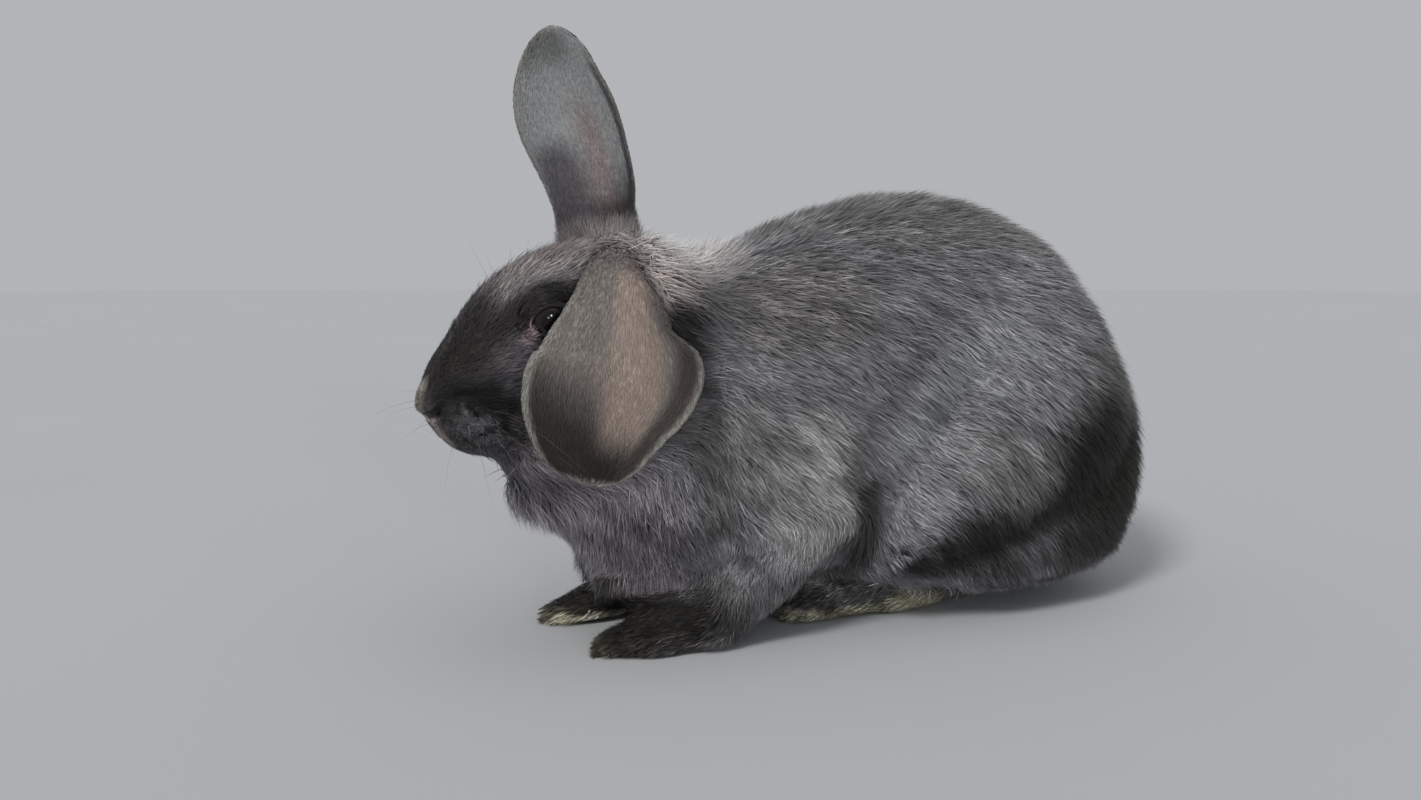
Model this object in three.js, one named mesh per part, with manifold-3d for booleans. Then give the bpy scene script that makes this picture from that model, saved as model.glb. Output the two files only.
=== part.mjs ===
// A life-size model of a crouching domestic rabbit, with one ear raised and the other lopped over its cheek.
// Millimetres. +X runs from the nose to the tail, +Y to the rabbit's right, +Z up. It stands on flats at z = 0.
// The solids reach out to the tips of the coat. Thin gaps part the body where a person would name its parts.
import * as THREE from "three";
import { mergeVertices } from "three/addons/utils/BufferGeometryUtils.js";
import Module from "manifold-3d";

const wasm = await Module();
wasm.setup();

// ---- driving dimensions ----
const GAP = 0.3; // between two pieces that meet
const LEFT = -1;
const RIGHT = 1;
const SIDES = { left: LEFT, right: RIGHT };

const EYE = { x: -34, y: 21.5, z: 128, radius: 9 };
const EAR_THICKNESS = 3.4;
const LEG_DEPTH = 20; // how far out from the middle plane a thigh begins
const THIGH_MIDDLE = [170, 50];
const THIGH_REACH = 60; // the least distance from that middle to the outline that parts the thigh
const RIGHT_PAW_STEP = [-5, 8, 0]; // the right forepaw stands this far ahead of and outside the left one's mirror

const CLAW = { length: 13, radius: 1.9, tip: 1.6, toes: [-0.62, -0.2, 0.2, 0.62] };
const FORE_CLAWS = { x: -8, y: 19.5, z: 5, spread: 11, fan: 14 };
const HIND_CLAWS = { x: 74, y: 19, z: 5, spread: 11.5, fan: 12 };

// ---- colours of the plain solids ----
const COLOURS = {
  coat: [0x5d5b60, 0.95],
  dark_coat: [0x3d3a3c, 0.95],
  ear: [0x7b7774, 0.9],
  eye: [0x120d0c, 0.15],
};

// ---- sections of each body ----
// A row is one section: its highest point (x, z), its lowest point (x, z), its half-width, and how far its
// middle lies from the rabbit's middle plane. Rows run from the front to the back.
const TRUNK = [
  [-18, 98, -27, 44, 29, 0],
  [8, 132, -12, 24, 43, 0],
  [42, 153, 20, 15, 53, 0],
  [82, 171, 62, 13, 60, 0],
  [122, 181, 106, 13, 66, 0],
  [162, 180, 152, 12, 70, 0],
  [200, 167, 196, 10, 69, 0],
  [233, 137, 230, 11, 61, 0],
  [254, 96, 251, 30, 43, 0],
];
const NECK = [
  [-18, 140, -44, 77, 26, 0],
  [6, 155, -47, 63, 34, 0],
  [28, 153, -37, 48, 41, 0],
  [50, 156, -20, 37, 46, 0],
  [68, 158, -4, 30, 49, 0],
];
const HEAD = [
  [-75.5, 107, -74, 90, 10, 0],
  [-71, 115, -67, 82, 16, 0],
  [-64, 124, -56, 76.5, 20, 0],
  [-54, 139, -42, 74, 24, 0],
  [-42, 149, -26, 74, 28, 0],
  [-27, 156, -10, 76, 31, 0],
  [-10, 160, 6, 80, 33, 0],
  [8, 160, 20, 90, 33, 0],
  [24, 153, 30, 106, 28, 0],
];
// Fuller parts of the head, each as its middle (x, y, z) and its three radii. The last three are in pairs.
const NOSE = [[-70.5, 0, 99], [6, 8, 7.5]];
const CHIN = [[-54, 0, 82], [11, 9, 6.5]];
const WHISKER_PAD = [[-57.5, 9, 92], [13.5, 11.5, 13.5]];
const CHEEK = [[-13, 19, 99], [26, 16, 22]];
const BROW = [[-30, 16.5, 130], [20, 12, 15]];
const THIGH = [
  [74, 50, 80, 14, 17, 45],
  [108, 84, 112, 7, 24, 46],
  [146, 116, 148, 6, 30, 46],
  [188, 130, 188, 5, 33, 44],
  [224, 116, 222, 6, 31, 39],
  [248, 86, 246, 18, 22, 32],
];
const HIND_FOOT = [
  [66, 13, 64, -1, 11, 19],
  [80, 19, 78, -2, 14, 20],
  [110, 23, 108, -2, 14, 22],
  [150, 26, 148, -2, 13.5, 25],
  [188, 28, 186, -1, 13, 28],
];
const FORELEG = [
  [8, 28, 12, -2, 13, 24],
  [25, 38, 29, 0, 16, 30],
  [43, 47, 46, 8, 19, 34],
  [62, 58, 60, 21, 21, 37],
  [80, 70, 74, 36, 20, 38],
];
const FOREPAW = [
  [-17, 9, -17, -1, 9.5, 18],
  [-9, 14, -12, -2, 12.5, 19],
  [1, 20, -2, -2, 13.5, 21],
  [12, 27, 10, -2, 13.5, 24],
  [22, 32, 24, 0, 13, 26],
];
const TAIL = [
  [240, 88, 246, 38, 17, 0],
  [254, 95, 263, 37, 20, 0],
  [267, 91, 276, 52, 16, 0],
];

// ---- ears ----
// A row is one place along the ridge of the ear's back: the place (x, y, z), half the ear's breadth laid flat,
// the degrees that each half is rolled through, and how far its rear margin flares away from the hollow.
const RAISED_EAR = [
  [8, 14, 132, 15, 105, 0],
  [5, 16, 150, 17.5, 92, 0],
  [2, 18, 168, 20, 78, 0],
  [-3, 20, 189, 25, 60, 0],
  [-11, 22, 213, 26, 42, 0],
  [-15, 25, 239, 23, 28, 0],
];
const LOPPED_EAR = [
  [13, -12, 137, 13, 90, 0],
  [5, -24, 147, 14, 80, 0],
  [-5, -37, 144, 15, 65, 0],
  [-13, -46, 131, 22, 50, 0.05],
  [-18, -51, 112, 34, 38, 0.2],
  [-26, -52, 93, 33.5, 30, 0.32],
  [-31, -50, 72, 29, 22, 0.2],
];

// ---- where the body is parted, as outlines (x, z) seen from the side: two corners, then a smooth line ----
const HEAD_OUTLINE = [
  [-120, 260],
  [-120, 50],
  [-50, 69],
  [-34, 71],
  [-10, 76],
  [10, 88],
  [23, 108],
  [29, 132],
  [31, 170],
];
const NECK_OUTLINE = [
  [-120, 260],
  [-120, 20],
  [-32, 40],
  [4, 62],
  [36, 98],
  [56, 130],
  [64, 180],
];
const THIGH_OUTLINE = [
  [64, -20],
  [69, 20],
  [76, 40],
  [98, 74],
  [126, 104],
  [165, 124],
  [206, 121],
  [238, 100],
  [262, 62],
  [274, -20],
];

// ---- making and cutting solids ----
const rad = THREE.MathUtils.degToRad;
const curveOf = (points) => new THREE.CatmullRomCurve3(points, false, "catmullrom", 0.5);

// How wide a loft is near its ends, as a share of its rows: each end is a round dome over its share of the length.
function dome(along, start, end) {
  const fromStart = Math.min(1, along / start);
  const fromEnd = Math.min(1, (1 - along) / end);
  return Math.sqrt((1 - (1 - fromStart) ** 2) * (1 - (1 - fromEnd) ** 2));
}

// A unit ball whose points are moved by place(along, across, up, point). along runs from 0 to 1 between its
// poles, and (across, up) is the direction round the section, which is (0, 0) at the poles.
function warpedBall(rings, sides, place) {
  const ball = new THREE.SphereGeometry(1, sides, rings);
  const position = ball.getAttribute("position");
  const point = new THREE.Vector3();
  for (let i = 0; i < position.count; i++) {
    point.fromBufferAttribute(position, i);
    const along = Math.min(1, Math.max(0, (1 - point.y) / 2));
    const reach = Math.hypot(point.x, point.z);
    const atPole = reach < 1e-4;
    place(along, atPole ? 0 : point.z / reach, atPole ? 0 : -point.x / reach, point);
    position.setXYZ(i, point.x, point.y, point.z);
  }
  return ball;
}

function solidOf(geometry) {
  const bare = geometry.clone().deleteAttribute("normal").deleteAttribute("uv");
  const merged = mergeVertices(bare, 1e-3);
  const mesh = new wasm.Mesh({
    numProp: 3,
    vertProperties: new Float32Array(merged.attributes.position.array),
    triVerts: new Uint32Array(merged.index.array),
  });
  return new wasm.Manifold(mesh);
}

// A body of elliptical sections. belt is the height of the widest point of each section, from 0 to 1, and
// round is the share of the length taken by the domes of its two ends.
function loft(rows, { side = RIGHT, grow = 0, belt = 0.5, rings = 16, sides = 20, round = [0.14, 0.14] } = {}) {
  const tops = curveOf(rows.map(([x, z]) => new THREE.Vector3(x, 0, z)));
  const lows = curveOf(rows.map(([, , x, z]) => new THREE.Vector3(x, 0, z)));
  const wides = curveOf(rows.map(([, , , , width, middle]) => new THREE.Vector3(width, middle * side, 0)));
  return solidOf(
    warpedBall(rings, sides, (along, across, up, point) => {
      const low = lows.getPoint(along);
      const rise = tops.getPoint(along).sub(low);
      const { x: width, y: middle } = wides.getPoint(along);
      const share = dome(along, ...round);
      const radius = rise.length() * (up > 0 ? 1 - belt : belt) * share + grow;
      point.copy(low).addScaledVector(rise, belt);
      point.addScaledVector(rise.normalize(), up * radius);
      point.y = middle + across * (width * share + grow);
      point.x += grow * Math.sign(along - 0.5) * (1 - share);
    }),
  );
}

function ellipsoid(centre, radii, { grow = 0, segments = 12 } = {}) {
  const ball = new THREE.SphereGeometry(1, segments, Math.round(segments * 0.7));
  ball.scale(...radii.map((radius) => radius + grow));
  ball.translate(...centre);
  return solidOf(ball);
}

// A leaf of even thickness, rolled about its ridge: the pinna of an ear. hollow is the way that it opens.
function pinna(rows, hollow, { grow = 0, rings = 17, sides = 18 } = {}) {
  const ridge = curveOf(rows.map(([x, y, z]) => new THREE.Vector3(x, y, z)));
  const shape = curveOf(rows.map(([, , , breadth, roll, flare]) => new THREE.Vector3(breadth, rad(roll), flare)));
  return solidOf(
    warpedBall(rings, sides, (along, across, up, point) => {
      const tangent = ridge.getTangent(along);
      const { x: breadth, y: roll, z: flare } = shape.getPoint(along);
      const inward = hollow.clone().addScaledVector(tangent, -hollow.dot(tangent)).normalize();
      const rearward = new THREE.Vector3().crossVectors(tangent, inward);
      const share = dome(along, 0.04, 0.42);
      const radius = (breadth * share + grow) / roll;
      const skin = (EAR_THICKNESS / 2 + grow) * Math.sign(up) * Math.abs(up) ** 0.6 * Math.min(1, share * 3);
      const lift = Math.max(0, across) ** 3 * flare * breadth * share;
      const out = radius + skin;
      point.copy(ridge.getPoint(along));
      point.addScaledVector(rearward, Math.sin(across * roll) * out);
      point.addScaledVector(inward, radius - Math.cos(across * roll) * out - lift);
    }),
  );
}

// A claw that curves down from its root to its tip.
function claw(root, direction) {
  const sideways = new THREE.Vector3(-direction.y, direction.x, 0);
  return solidOf(
    warpedBall(6, 6, (along, across, up, point) => {
      const radius = CLAW.radius * dome(along, 0.1, 0.95);
      point.copy(root).addScaledVector(direction, along * CLAW.length);
      point.addScaledVector(sideways, across * radius);
      point.z += up * radius * 1.15 - along ** 2 * (root.z - CLAW.tip);
    }),
  );
}

// A slab whose side view is a closed outline, from one depth to another.
function slab([corner, ...line], from, to) {
  const shape = new THREE.Shape([corner, line[0]].map(([x, z]) => new THREE.Vector2(x, z)));
  shape.splineThru(line.slice(1).map(([x, z]) => new THREE.Vector2(x, z)));
  const geometry = new THREE.ExtrudeGeometry(shape, { depth: to - from, bevelEnabled: false, curveSegments: 4 });
  geometry.rotateX(Math.PI / 2);
  geometry.translate(0, to, 0);
  return solidOf(geometry);
}

// The biggest piece of a solid, after a cut that may leave crumbs.
const biggest = (solid) => solid.decompose().reduce((most, next) => (next.volume() > most.volume() ? next : most));

const cut = (solid, ...tools) => biggest(tools.reduce((left, tool) => left.subtract(tool), solid));

function piece(name, solid, material) {
  const { vertProperties, triVerts } = solid.getMesh();
  const geometry = new THREE.BufferGeometry();
  geometry.setAttribute("position", new THREE.BufferAttribute(vertProperties, 3));
  geometry.setIndex(new THREE.BufferAttribute(triVerts, 1));
  geometry.computeVertexNormals();
  const [color, roughness] = COLOURS[material];
  const mesh = new THREE.Mesh(geometry, new THREE.MeshStandardMaterial({ color, roughness, metalness: 0 }));
  mesh.name = name;
  return mesh;
}

// ---- the parts of the body ----
const trunk = (grow = 0) => loft(TRUNK, { grow, belt: 0.42, rings: 20, sides: 24, round: [0.16, 0.22] });

const neck = (grow = 0) => loft(NECK, { grow, rings: 9, sides: 18, round: [0.3, 0.3] });

function head(grow = 0) {
  const skull = loft(HEAD, { grow, belt: 0.45, rings: 17, sides: 18, round: [0.12, 0.3] });
  const nose = ellipsoid(...NOSE, { grow, segments: 10 });
  const chin = ellipsoid(...CHIN, { grow, segments: 10 });
  return Object.values(SIDES).reduce((made, side) => {
    const paired = ([[x, y, z], radii]) => ellipsoid([x, side * y, z], radii, { grow });
    return made.add(paired(WHISKER_PAD)).add(paired(CHEEK)).add(paired(BROW));
  }, skull.add(nose).add(chin));
}

const thigh = (side, grow = 0) => loft(THIGH, { side, grow, rings: 13, sides: 16, round: [0.2, 0.3] });

function thighSlab(side, grow = 0) {
  const [midX, midZ] = THIGH_MIDDLE;
  const swell = 1 + grow / THIGH_REACH;
  const outline = THIGH_OUTLINE.map(([x, z]) => [midX + (x - midX) * swell, midZ + (z - midZ) * swell]);
  const inner = LEG_DEPTH - grow;
  return side === RIGHT ? slab(outline, inner, 120) : slab(outline, -120, -inner);
}

const eye = (side, grow = 0) => ellipsoid([EYE.x, side * EYE.y, EYE.z], Array(3).fill(EYE.radius), { grow });

const tail = (grow = 0) => loft(TAIL, { grow, rings: 8, sides: 12, round: [0.4, 0.5] });

const ears = {
  left: (grow = 0) => pinna(LOPPED_EAR, new THREE.Vector3(0.1, 1, -0.25), { grow }),
  right: (grow = 0) => pinna(RAISED_EAR, new THREE.Vector3(0.45, 1, 0), { grow }),
};

const step = (side) => (side === RIGHT ? RIGHT_PAW_STEP : [0, 0, 0]);

const foreleg = (side, grow = 0) =>
  loft(FORELEG, { side, grow, rings: 9, sides: 12, round: [0.2, 0.3] }).translate(step(side));

// A foot with a claw on each toe. The outer toes stand back and turn outwards.
function clawed(foot, { x, y, z, spread, fan }, side) {
  return CLAW.toes.reduce((made, toe) => {
    const turn = rad(toe * fan) * side;
    const root = new THREE.Vector3(x + Math.abs(toe) * 5, side * (y + toe * spread), z);
    return made.add(claw(root, new THREE.Vector3(-Math.cos(turn), Math.sin(turn), 0)));
  }, foot);
}

const forepaw = (side) =>
  clawed(loft(FOREPAW, { side, rings: 9, sides: 14, round: [0.2, 0.2] }), FORE_CLAWS, side).translate(step(side));

const hindFoot = (side) =>
  clawed(loft(HIND_FOOT, { side, rings: 9, sides: 14, round: [0.12, 0.12] }), HIND_CLAWS, side);

// ---- the rabbit ----
const rabbit = new THREE.Group();
const FLOOR = solidOf(new THREE.BoxGeometry(900, 600, 60).translate(100, 0, -30));

function addMesh(...args) {
  rabbit.add(piece(...args));
}

// The flesh from the nose to the rump is one body, parted by the outlines.
function wholeFlesh(grow = 0) {
  const parts = [trunk(grow), neck(grow), head(grow), thigh(LEFT, grow), thigh(RIGHT, grow)];
  return parts.reduce((all, part) => all.add(part));
}

const flesh = wholeFlesh().subtract(FLOOR);
const grownFlesh = wholeFlesh(GAP);
const headSlab = slab(HEAD_OUTLINE, -100, 100);
const neckSlab = slab(NECK_OUTLINE, -100, 100);
const behind = (slabSolid) => slabSolid.translate([GAP, 0, -GAP]);
const body = flesh.subtract(behind(neckSlab));

addMesh("head", cut(flesh.intersect(headSlab), eye(LEFT, GAP), eye(RIGHT, GAP)), "coat");
addMesh("neck", cut(flesh.intersect(neckSlab), behind(headSlab)), "coat");
addMesh("trunk", cut(body, thighSlab(LEFT, GAP), thighSlab(RIGHT, GAP)), "coat");
addMesh("tail", cut(tail(), grownFlesh), "coat");
for (const [name, side] of Object.entries(SIDES)) {
  addMesh(`eye_${name}`, eye(side), "eye");
  addMesh(`ear_${name}`, cut(ears[name](), grownFlesh), "ear");
  addMesh(`thigh_${name}`, biggest(body.intersect(thighSlab(side))), "coat");
  addMesh(`foreleg_${name}`, cut(foreleg(side), grownFlesh, FLOOR), "coat");
  addMesh(`forepaw_${name}`, cut(forepaw(side), foreleg(side, GAP), grownFlesh, FLOOR), "dark_coat");
  addMesh(`hind_foot_${name}`, cut(hindFoot(side), grownFlesh, FLOOR), "dark_coat");
}

// The origin is the middle of the whole rabbit's box, on the floor.
const box = new THREE.Box3().setFromObject(rabbit);
rabbit.position.set(-(box.min.x + box.max.x) / 2, -(box.min.y + box.max.y) / 2, -box.min.z);

export default rabbit;
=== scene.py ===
import math

import bmesh
import bpy
import numpy as np
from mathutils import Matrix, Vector
from mathutils.bvhtree import BVHTree


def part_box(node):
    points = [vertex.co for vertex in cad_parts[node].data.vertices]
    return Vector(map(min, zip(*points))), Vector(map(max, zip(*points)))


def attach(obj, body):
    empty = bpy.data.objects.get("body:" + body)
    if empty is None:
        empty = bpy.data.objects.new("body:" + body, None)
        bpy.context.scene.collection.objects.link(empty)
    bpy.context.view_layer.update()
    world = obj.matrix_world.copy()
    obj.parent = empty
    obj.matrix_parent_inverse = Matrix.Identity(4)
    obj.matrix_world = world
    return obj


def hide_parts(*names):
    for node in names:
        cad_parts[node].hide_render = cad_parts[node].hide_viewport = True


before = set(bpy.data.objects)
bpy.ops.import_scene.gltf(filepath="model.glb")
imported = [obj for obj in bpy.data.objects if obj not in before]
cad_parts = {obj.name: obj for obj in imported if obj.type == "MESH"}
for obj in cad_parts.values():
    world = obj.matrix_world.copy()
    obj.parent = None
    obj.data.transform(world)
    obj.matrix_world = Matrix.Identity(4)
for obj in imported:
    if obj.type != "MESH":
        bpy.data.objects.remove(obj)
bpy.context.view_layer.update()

# A crouching slate-grey rabbit: one skin, a coat of overlapping tufts, eyes, claws and whiskers.
# Lengths are in millimetres in the body's own frame until a mesh is made: x runs from the nose to the tail,
# y to the rabbit's right, z up from the floor, and x = y = 0 lies between the forepaws.

RNG = np.random.default_rng(71)
LEFT, RIGHT = -1.0, 1.0
SIDES = ((LEFT, "left"), (RIGHT, "right"))

# ---- driving sizes ----
EYE = np.array([-34.0, 21.5, 128.0])
EYE_RADIUS = 9.0
EYE_AXIS = np.array([-0.20, 0.97, -0.12]) / np.linalg.norm([0.20, 0.97, 0.12])
CORNEA = EYE + EYE_AXIS * EYE_RADIUS
LID_OPENING = (6.3, 4.8)  # half its length and half its height, along the eyeball
LID_STANDOFF = 0.75  # how far the lids stand outside the eyeball
EAR_THICKNESS = 3.4  # with the hair on it
EAR_SKIN = 1.5
EAR_HAIR = 0.9
VOXEL = 2.2
CAD_SWELL = 0.35  # each solid is swollen by this, so that it meets its neighbours

eye_low, eye_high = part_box("eye_left")
ORIGIN = np.array((eye_low + eye_high) / 2) * 1000 - EYE * (1, LEFT, 1)


def metres(points):
    return (np.asarray(points, float) + ORIGIN) * 0.001


def mirrored(point, side):
    return np.asarray(point, float) * (1, side, 1)


# ---- small maths ----
def unit(v):
    return v / np.maximum(np.linalg.norm(v, axis=-1, keepdims=True), 1e-9)


def ramp(value, low, high):
    t = np.clip((value - low) / (high - low), 0, 1)
    return t * t * (3 - 2 * t)


def mix(a, b, share):
    return a + (b - a) * share


def to_line(points, line):
    """The least distance from each point to a line of several points."""
    line = np.asarray(line, float)
    best = np.full(len(points), 1e9)
    for a, b in zip(line[:-1], line[1:]):
        along = np.clip(((points - a) @ (b - a)) / ((b - a) @ (b - a)), 0, 1)
        best = np.minimum(best, np.linalg.norm(points - a - along[:, None] * (b - a), axis=1))
    return best


def near(points, line, inner, outer):
    """1 within inner of the line, falling to 0 at outer."""
    return 1 - ramp(to_line(points, line), inner, outer)


def both(line):
    """A line and its mirror image, on the left and on the right."""
    return [[mirrored(p, side) for p in line] for side in (LEFT, RIGHT)]


def near_both(points, line, inner, outer):
    return region(points, both(line), inner, outer)


def region(points, lines, inner, outer):
    return np.max([near(points, line, inner, outer) for line in lines], axis=0)


def tinted(colour, tint, share):
    """Colours (or one colour) mixed towards a tint, each point by its own share."""
    return mix(np.asarray(colour), np.array(tint), np.asarray(share, float)[:, None])


def in_plane(vectors, normal, share=1.0):
    """Vectors without what points along the normal, or without that share of it."""
    return vectors - normal * (vectors * normal).sum(1)[:, None] * share


LATTICE = RNG.random((64, 64, 64)).astype(np.float32)


def noise(points, size, shift=0.0):
    """Smooth noise between -1 and 1, with cells of that size."""
    p = np.asarray(points) / size + 17.3 + shift
    low = np.floor(p).astype(int)
    f = p - low
    f = f * f * (3 - 2 * f)
    total = 0
    for corner in np.ndindex(2, 2, 2):
        weight = np.prod(np.where(corner, f, 1 - f), axis=1)
        i, j, k = ((low + corner) % 64).T
        total = total + weight * LATTICE[i, j, k]
    return total * 2 - 1


def curve(rows, t):
    """Catmull-Rom through rows, at each t from 0 to 1."""
    rows = np.asarray(rows, float)
    padded = np.vstack([2 * rows[0] - rows[1], rows, 2 * rows[-1] - rows[-2]])
    place = np.clip(t, 0, 1) * (len(rows) - 1)
    i = np.minimum(place.astype(int), len(rows) - 2)
    f = (place - i)[:, None]
    a, b, c, d = padded[i], padded[i + 1], padded[i + 2], padded[i + 3]
    return 0.5 * (2 * b + (c - a) * f + (2 * a - 5 * b + 4 * c - d) * f**2 + (3 * b - a - 3 * c + d) * f**3)


# ---- meshes as arrays ----
def face_normals(points, faces):
    return np.cross(points[faces[:, 1]] - points[faces[:, 0]], points[faces[:, 2]] - points[faces[:, 0]])


def normals(points, faces):
    each = face_normals(points, faces)
    total = np.stack(
        [sum(np.bincount(faces[:, k], each[:, axis], len(points)) for k in range(3)) for axis in range(3)], 1
    )
    return unit(total)


def edges_of(faces):
    pairs = np.sort(np.concatenate([faces[:, [0, 1]], faces[:, [1, 2]], faces[:, [2, 0]]]), axis=1)
    return np.unique(pairs, axis=0)


def relax(values, edges, rounds, amount):
    """Moves each value towards its neighbours' mean, amount (a number or one per point) each round."""
    a, b = edges.T
    count = len(values)
    shared = np.bincount(a, minlength=count) + np.bincount(b, minlength=count)
    amount = np.broadcast_to(amount, count)[:, None]
    for _ in range(rounds):
        total = np.stack(
            [np.bincount(a, v[b], count) + np.bincount(b, v[a], count) for v in values.T], 1
        )
        values = mix(values, total / np.maximum(shared, 1)[:, None], amount)
    return values


def grid_faces(rows, sides, looped=False):
    """Triangles over rows of points, each closed into a ring, and the last row joined to the first if looped."""
    i, j = (g.ravel() for g in np.meshgrid(np.arange(rows if looped else rows - 1), np.arange(sides), indexing="ij"))
    next_row, k = (i + 1) % rows, (j + 1) % sides
    p, q, r, s = i * sides + j, i * sides + k, next_row * sides + k, next_row * sides + j
    return np.concatenate([np.stack([p, s, r], 1), np.stack([p, r, q], 1)])


def fan(sides):
    """Triangles that close a ring of points."""
    return np.stack([np.zeros(sides - 2, int), np.arange(1, sides - 1), np.arange(2, sides)], 1)


def facing_out(points, faces, middle):
    """The faces, turned over if they point towards the middle."""
    outward = (face_normals(points, faces) * (points[faces[:, 0]] - middle)).sum()
    return faces if outward > 0 else faces[:, ::-1]


def to_mesh(name, points, faces):
    mesh = bpy.data.meshes.new(name)
    mesh.vertices.add(len(points))
    mesh.vertices.foreach_set("co", np.asarray(points, np.float32).ravel())
    corners = faces.shape[1]
    mesh.loops.add(faces.size)
    mesh.loops.foreach_set("vertex_index", faces.astype(np.int32).ravel())
    mesh.polygons.add(len(faces))
    mesh.polygons.foreach_set("loop_start", np.arange(0, faces.size, corners, dtype=np.int32))
    mesh.update(calc_edges=True)
    return mesh


def arrays_of(mesh):
    mesh.calc_loop_triangles()
    points = np.empty(len(mesh.vertices) * 3, np.float32)
    faces = np.empty(len(mesh.loop_triangles) * 3, np.int32)
    mesh.vertices.foreach_get("co", points)
    mesh.loop_triangles.foreach_get("vertices", faces)
    return points.reshape(-1, 3).astype(float), faces.reshape(-1, 3)


def piece(name, points, faces, material):
    obj = bpy.data.objects.new(name, to_mesh(name, metres(points), faces))
    bpy.context.scene.collection.objects.link(obj)
    obj.data.materials.append(material)
    obj.data.polygons.foreach_set("use_smooth", np.ones(len(faces), bool))
    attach(obj, "root")
    return obj


def joined(parts):
    """Several (points, faces) as one."""
    points, faces, start = [], [], 0
    for p, f in parts:
        points.append(p)
        faces.append(f + start)
        start += len(p)
    return np.vstack(points), np.vstack(faces)


# ---- the outer form: where the tips of the coat lie ----
PAIRED = ("thigh", "foreleg", "forepaw", "hind_foot", "eye")
FLESH = ["head", "neck", "trunk", "tail"] + [f"{part}_{side}" for part in PAIRED for side in ("left", "right")]
NOSE_TIP = np.array([-75.0, 0, 99])
PAW_STEP = np.array([-5.0, 8, 0])  # how far the right forefoot stands from the left one's mirror image
PAW_LINES = [
    np.array([(-12, -18, 6), (4, -21, 10), (16, -25, 14)], float),
    np.array([(-17, 26, 6), (-1, 22, 10), (11, 23, 14)], float),
]
ARM = [(16, 25, 14), (40, 32, 27), (70, 38, 50)]
ARM_LINES = [np.array(line) + step for line, step in zip(both(ARM), (0, PAW_STEP))]
HIND_FOOT = [(72, 19, 7), (110, 22, 10), (150, 25, 12), (185, 28, 13)]
TAIL = [(262, 0, 50), (262, 0, 85)]


def from_eyes(points):
    """The distance from each point to the front of the nearer eye."""
    return np.min([np.linalg.norm(points - mirrored(CORNEA, side), axis=1) for side in (LEFT, RIGHT)], axis=0)


def regions(points):
    """How far each point belongs to each region, from 0 to 1."""
    x, y, z = points.T
    jaw = 23 - (z - 108) * 0.12 + np.minimum(0, z - 92) * 1.9
    head = 1 - ramp(x, jaw - 14, jaw + 14)
    return {
        "head": head * ramp(z, 62, 74),
        "paw": region(points, PAW_LINES, 16, 24) * (1 - ramp(z, 26, 38)),
        "arm": region(points, ARM_LINES, 16, 28) * (1 - ramp(z, 48, 66)),
        "foot": near_both(points, HIND_FOOT, 17, 24) * (1 - ramp(z, 20, 28)),
        "tail": near(points, TAIL, 22, 32) * ramp(x, 240, 254),
    }


def remeshed(points, faces, size):
    """One closed surface round all of the shells."""
    obj = bpy.data.objects.new("form", to_mesh("form", points, faces))
    bpy.context.scene.collection.objects.link(obj)
    modifier = obj.modifiers.new("form", "REMESH")
    modifier.mode = "VOXEL"
    modifier.voxel_size = size
    evaluated = obj.evaluated_get(bpy.context.evaluated_depsgraph_get())
    made = arrays_of(evaluated.to_mesh())
    evaluated.to_mesh_clear()
    bpy.data.objects.remove(obj)
    return made


def biggest_shell(points, faces):
    """Drops shells shut up inside the biggest one."""
    a, b = edges_of(faces).T
    label = np.arange(len(points))
    while True:
        least = np.minimum(label[a], label[b])
        new = label.copy()
        np.minimum.at(new, a, least)
        np.minimum.at(new, b, least)
        new = new[new]
        if (new == label).all():
            break
        label = new
    kept = label == np.bincount(label).argmax()
    index = np.cumsum(kept) - 1
    return points[kept], index[faces[kept[faces[:, 0]]]]


def refined(points, faces, chosen):
    """Halves the edges whose two ends are chosen."""
    bm = bmesh.new()
    mesh = to_mesh("refined", points, faces)
    bm.from_mesh(mesh)
    bpy.data.meshes.remove(mesh)
    edges = [e for e in bm.edges if chosen[e.verts[0].index] and chosen[e.verts[1].index]]
    bmesh.ops.subdivide_edges(bm, edges=edges, cuts=1, use_grid_fill=True)
    bmesh.ops.triangulate(bm, faces=bm.faces)
    mesh = bpy.data.meshes.new("refined")
    bm.to_mesh(mesh)
    bm.free()
    made = arrays_of(mesh)
    bpy.data.meshes.remove(mesh)
    return made


# Folds of the body seen from the side: a line of (x, z), how wide, and how deep, which is less than 0 for a swelling.
FOLDS = [
    ([(138, 112), (122, 94), (105, 75), (93, 55), (89, 32)], 6, 5.0),
    ([(98, 22), (131, 33), (165, 41), (196, 54), (216, 76)], 7, 4.5),
    ([(14, 104), (20, 83), (21, 62), (26, 36)], 6, 5.0),
    ([(150, 66), (180, 74)], 34, -3.0),
    ([(42, 88), (52, 66)], 19, -3.5),
    ([(66, 60), (72, 48)], 14, -2.0),
    ([(140, 17), (190, 20)], 8, -2.0),
]


def folded(points, faces):
    """The folds, pressed into the two sides of the body."""
    for line, width, depth in FOLDS:
        normal = normals(points, faces)
        line = [(x, 0, z) for x, z in line]
        facing_side = ramp(np.abs(normal[:, 1]), 0.15, 0.5)
        share = np.exp(-((to_line(points * (1, 0, 1), line) / width) ** 2)) * facing_side
        points = points - normal * (share * depth)[:, None]
    return points


def ball(centre, radius):
    """A round lump, as (points, faces)."""
    bm = bmesh.new()
    bmesh.ops.create_icosphere(bm, subdivisions=4, radius=radius)
    mesh = bpy.data.meshes.new("ball")
    bm.to_mesh(mesh)
    bm.free()
    points, faces = arrays_of(mesh)
    bpy.data.meshes.remove(mesh)
    return points + centre, faces


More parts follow.
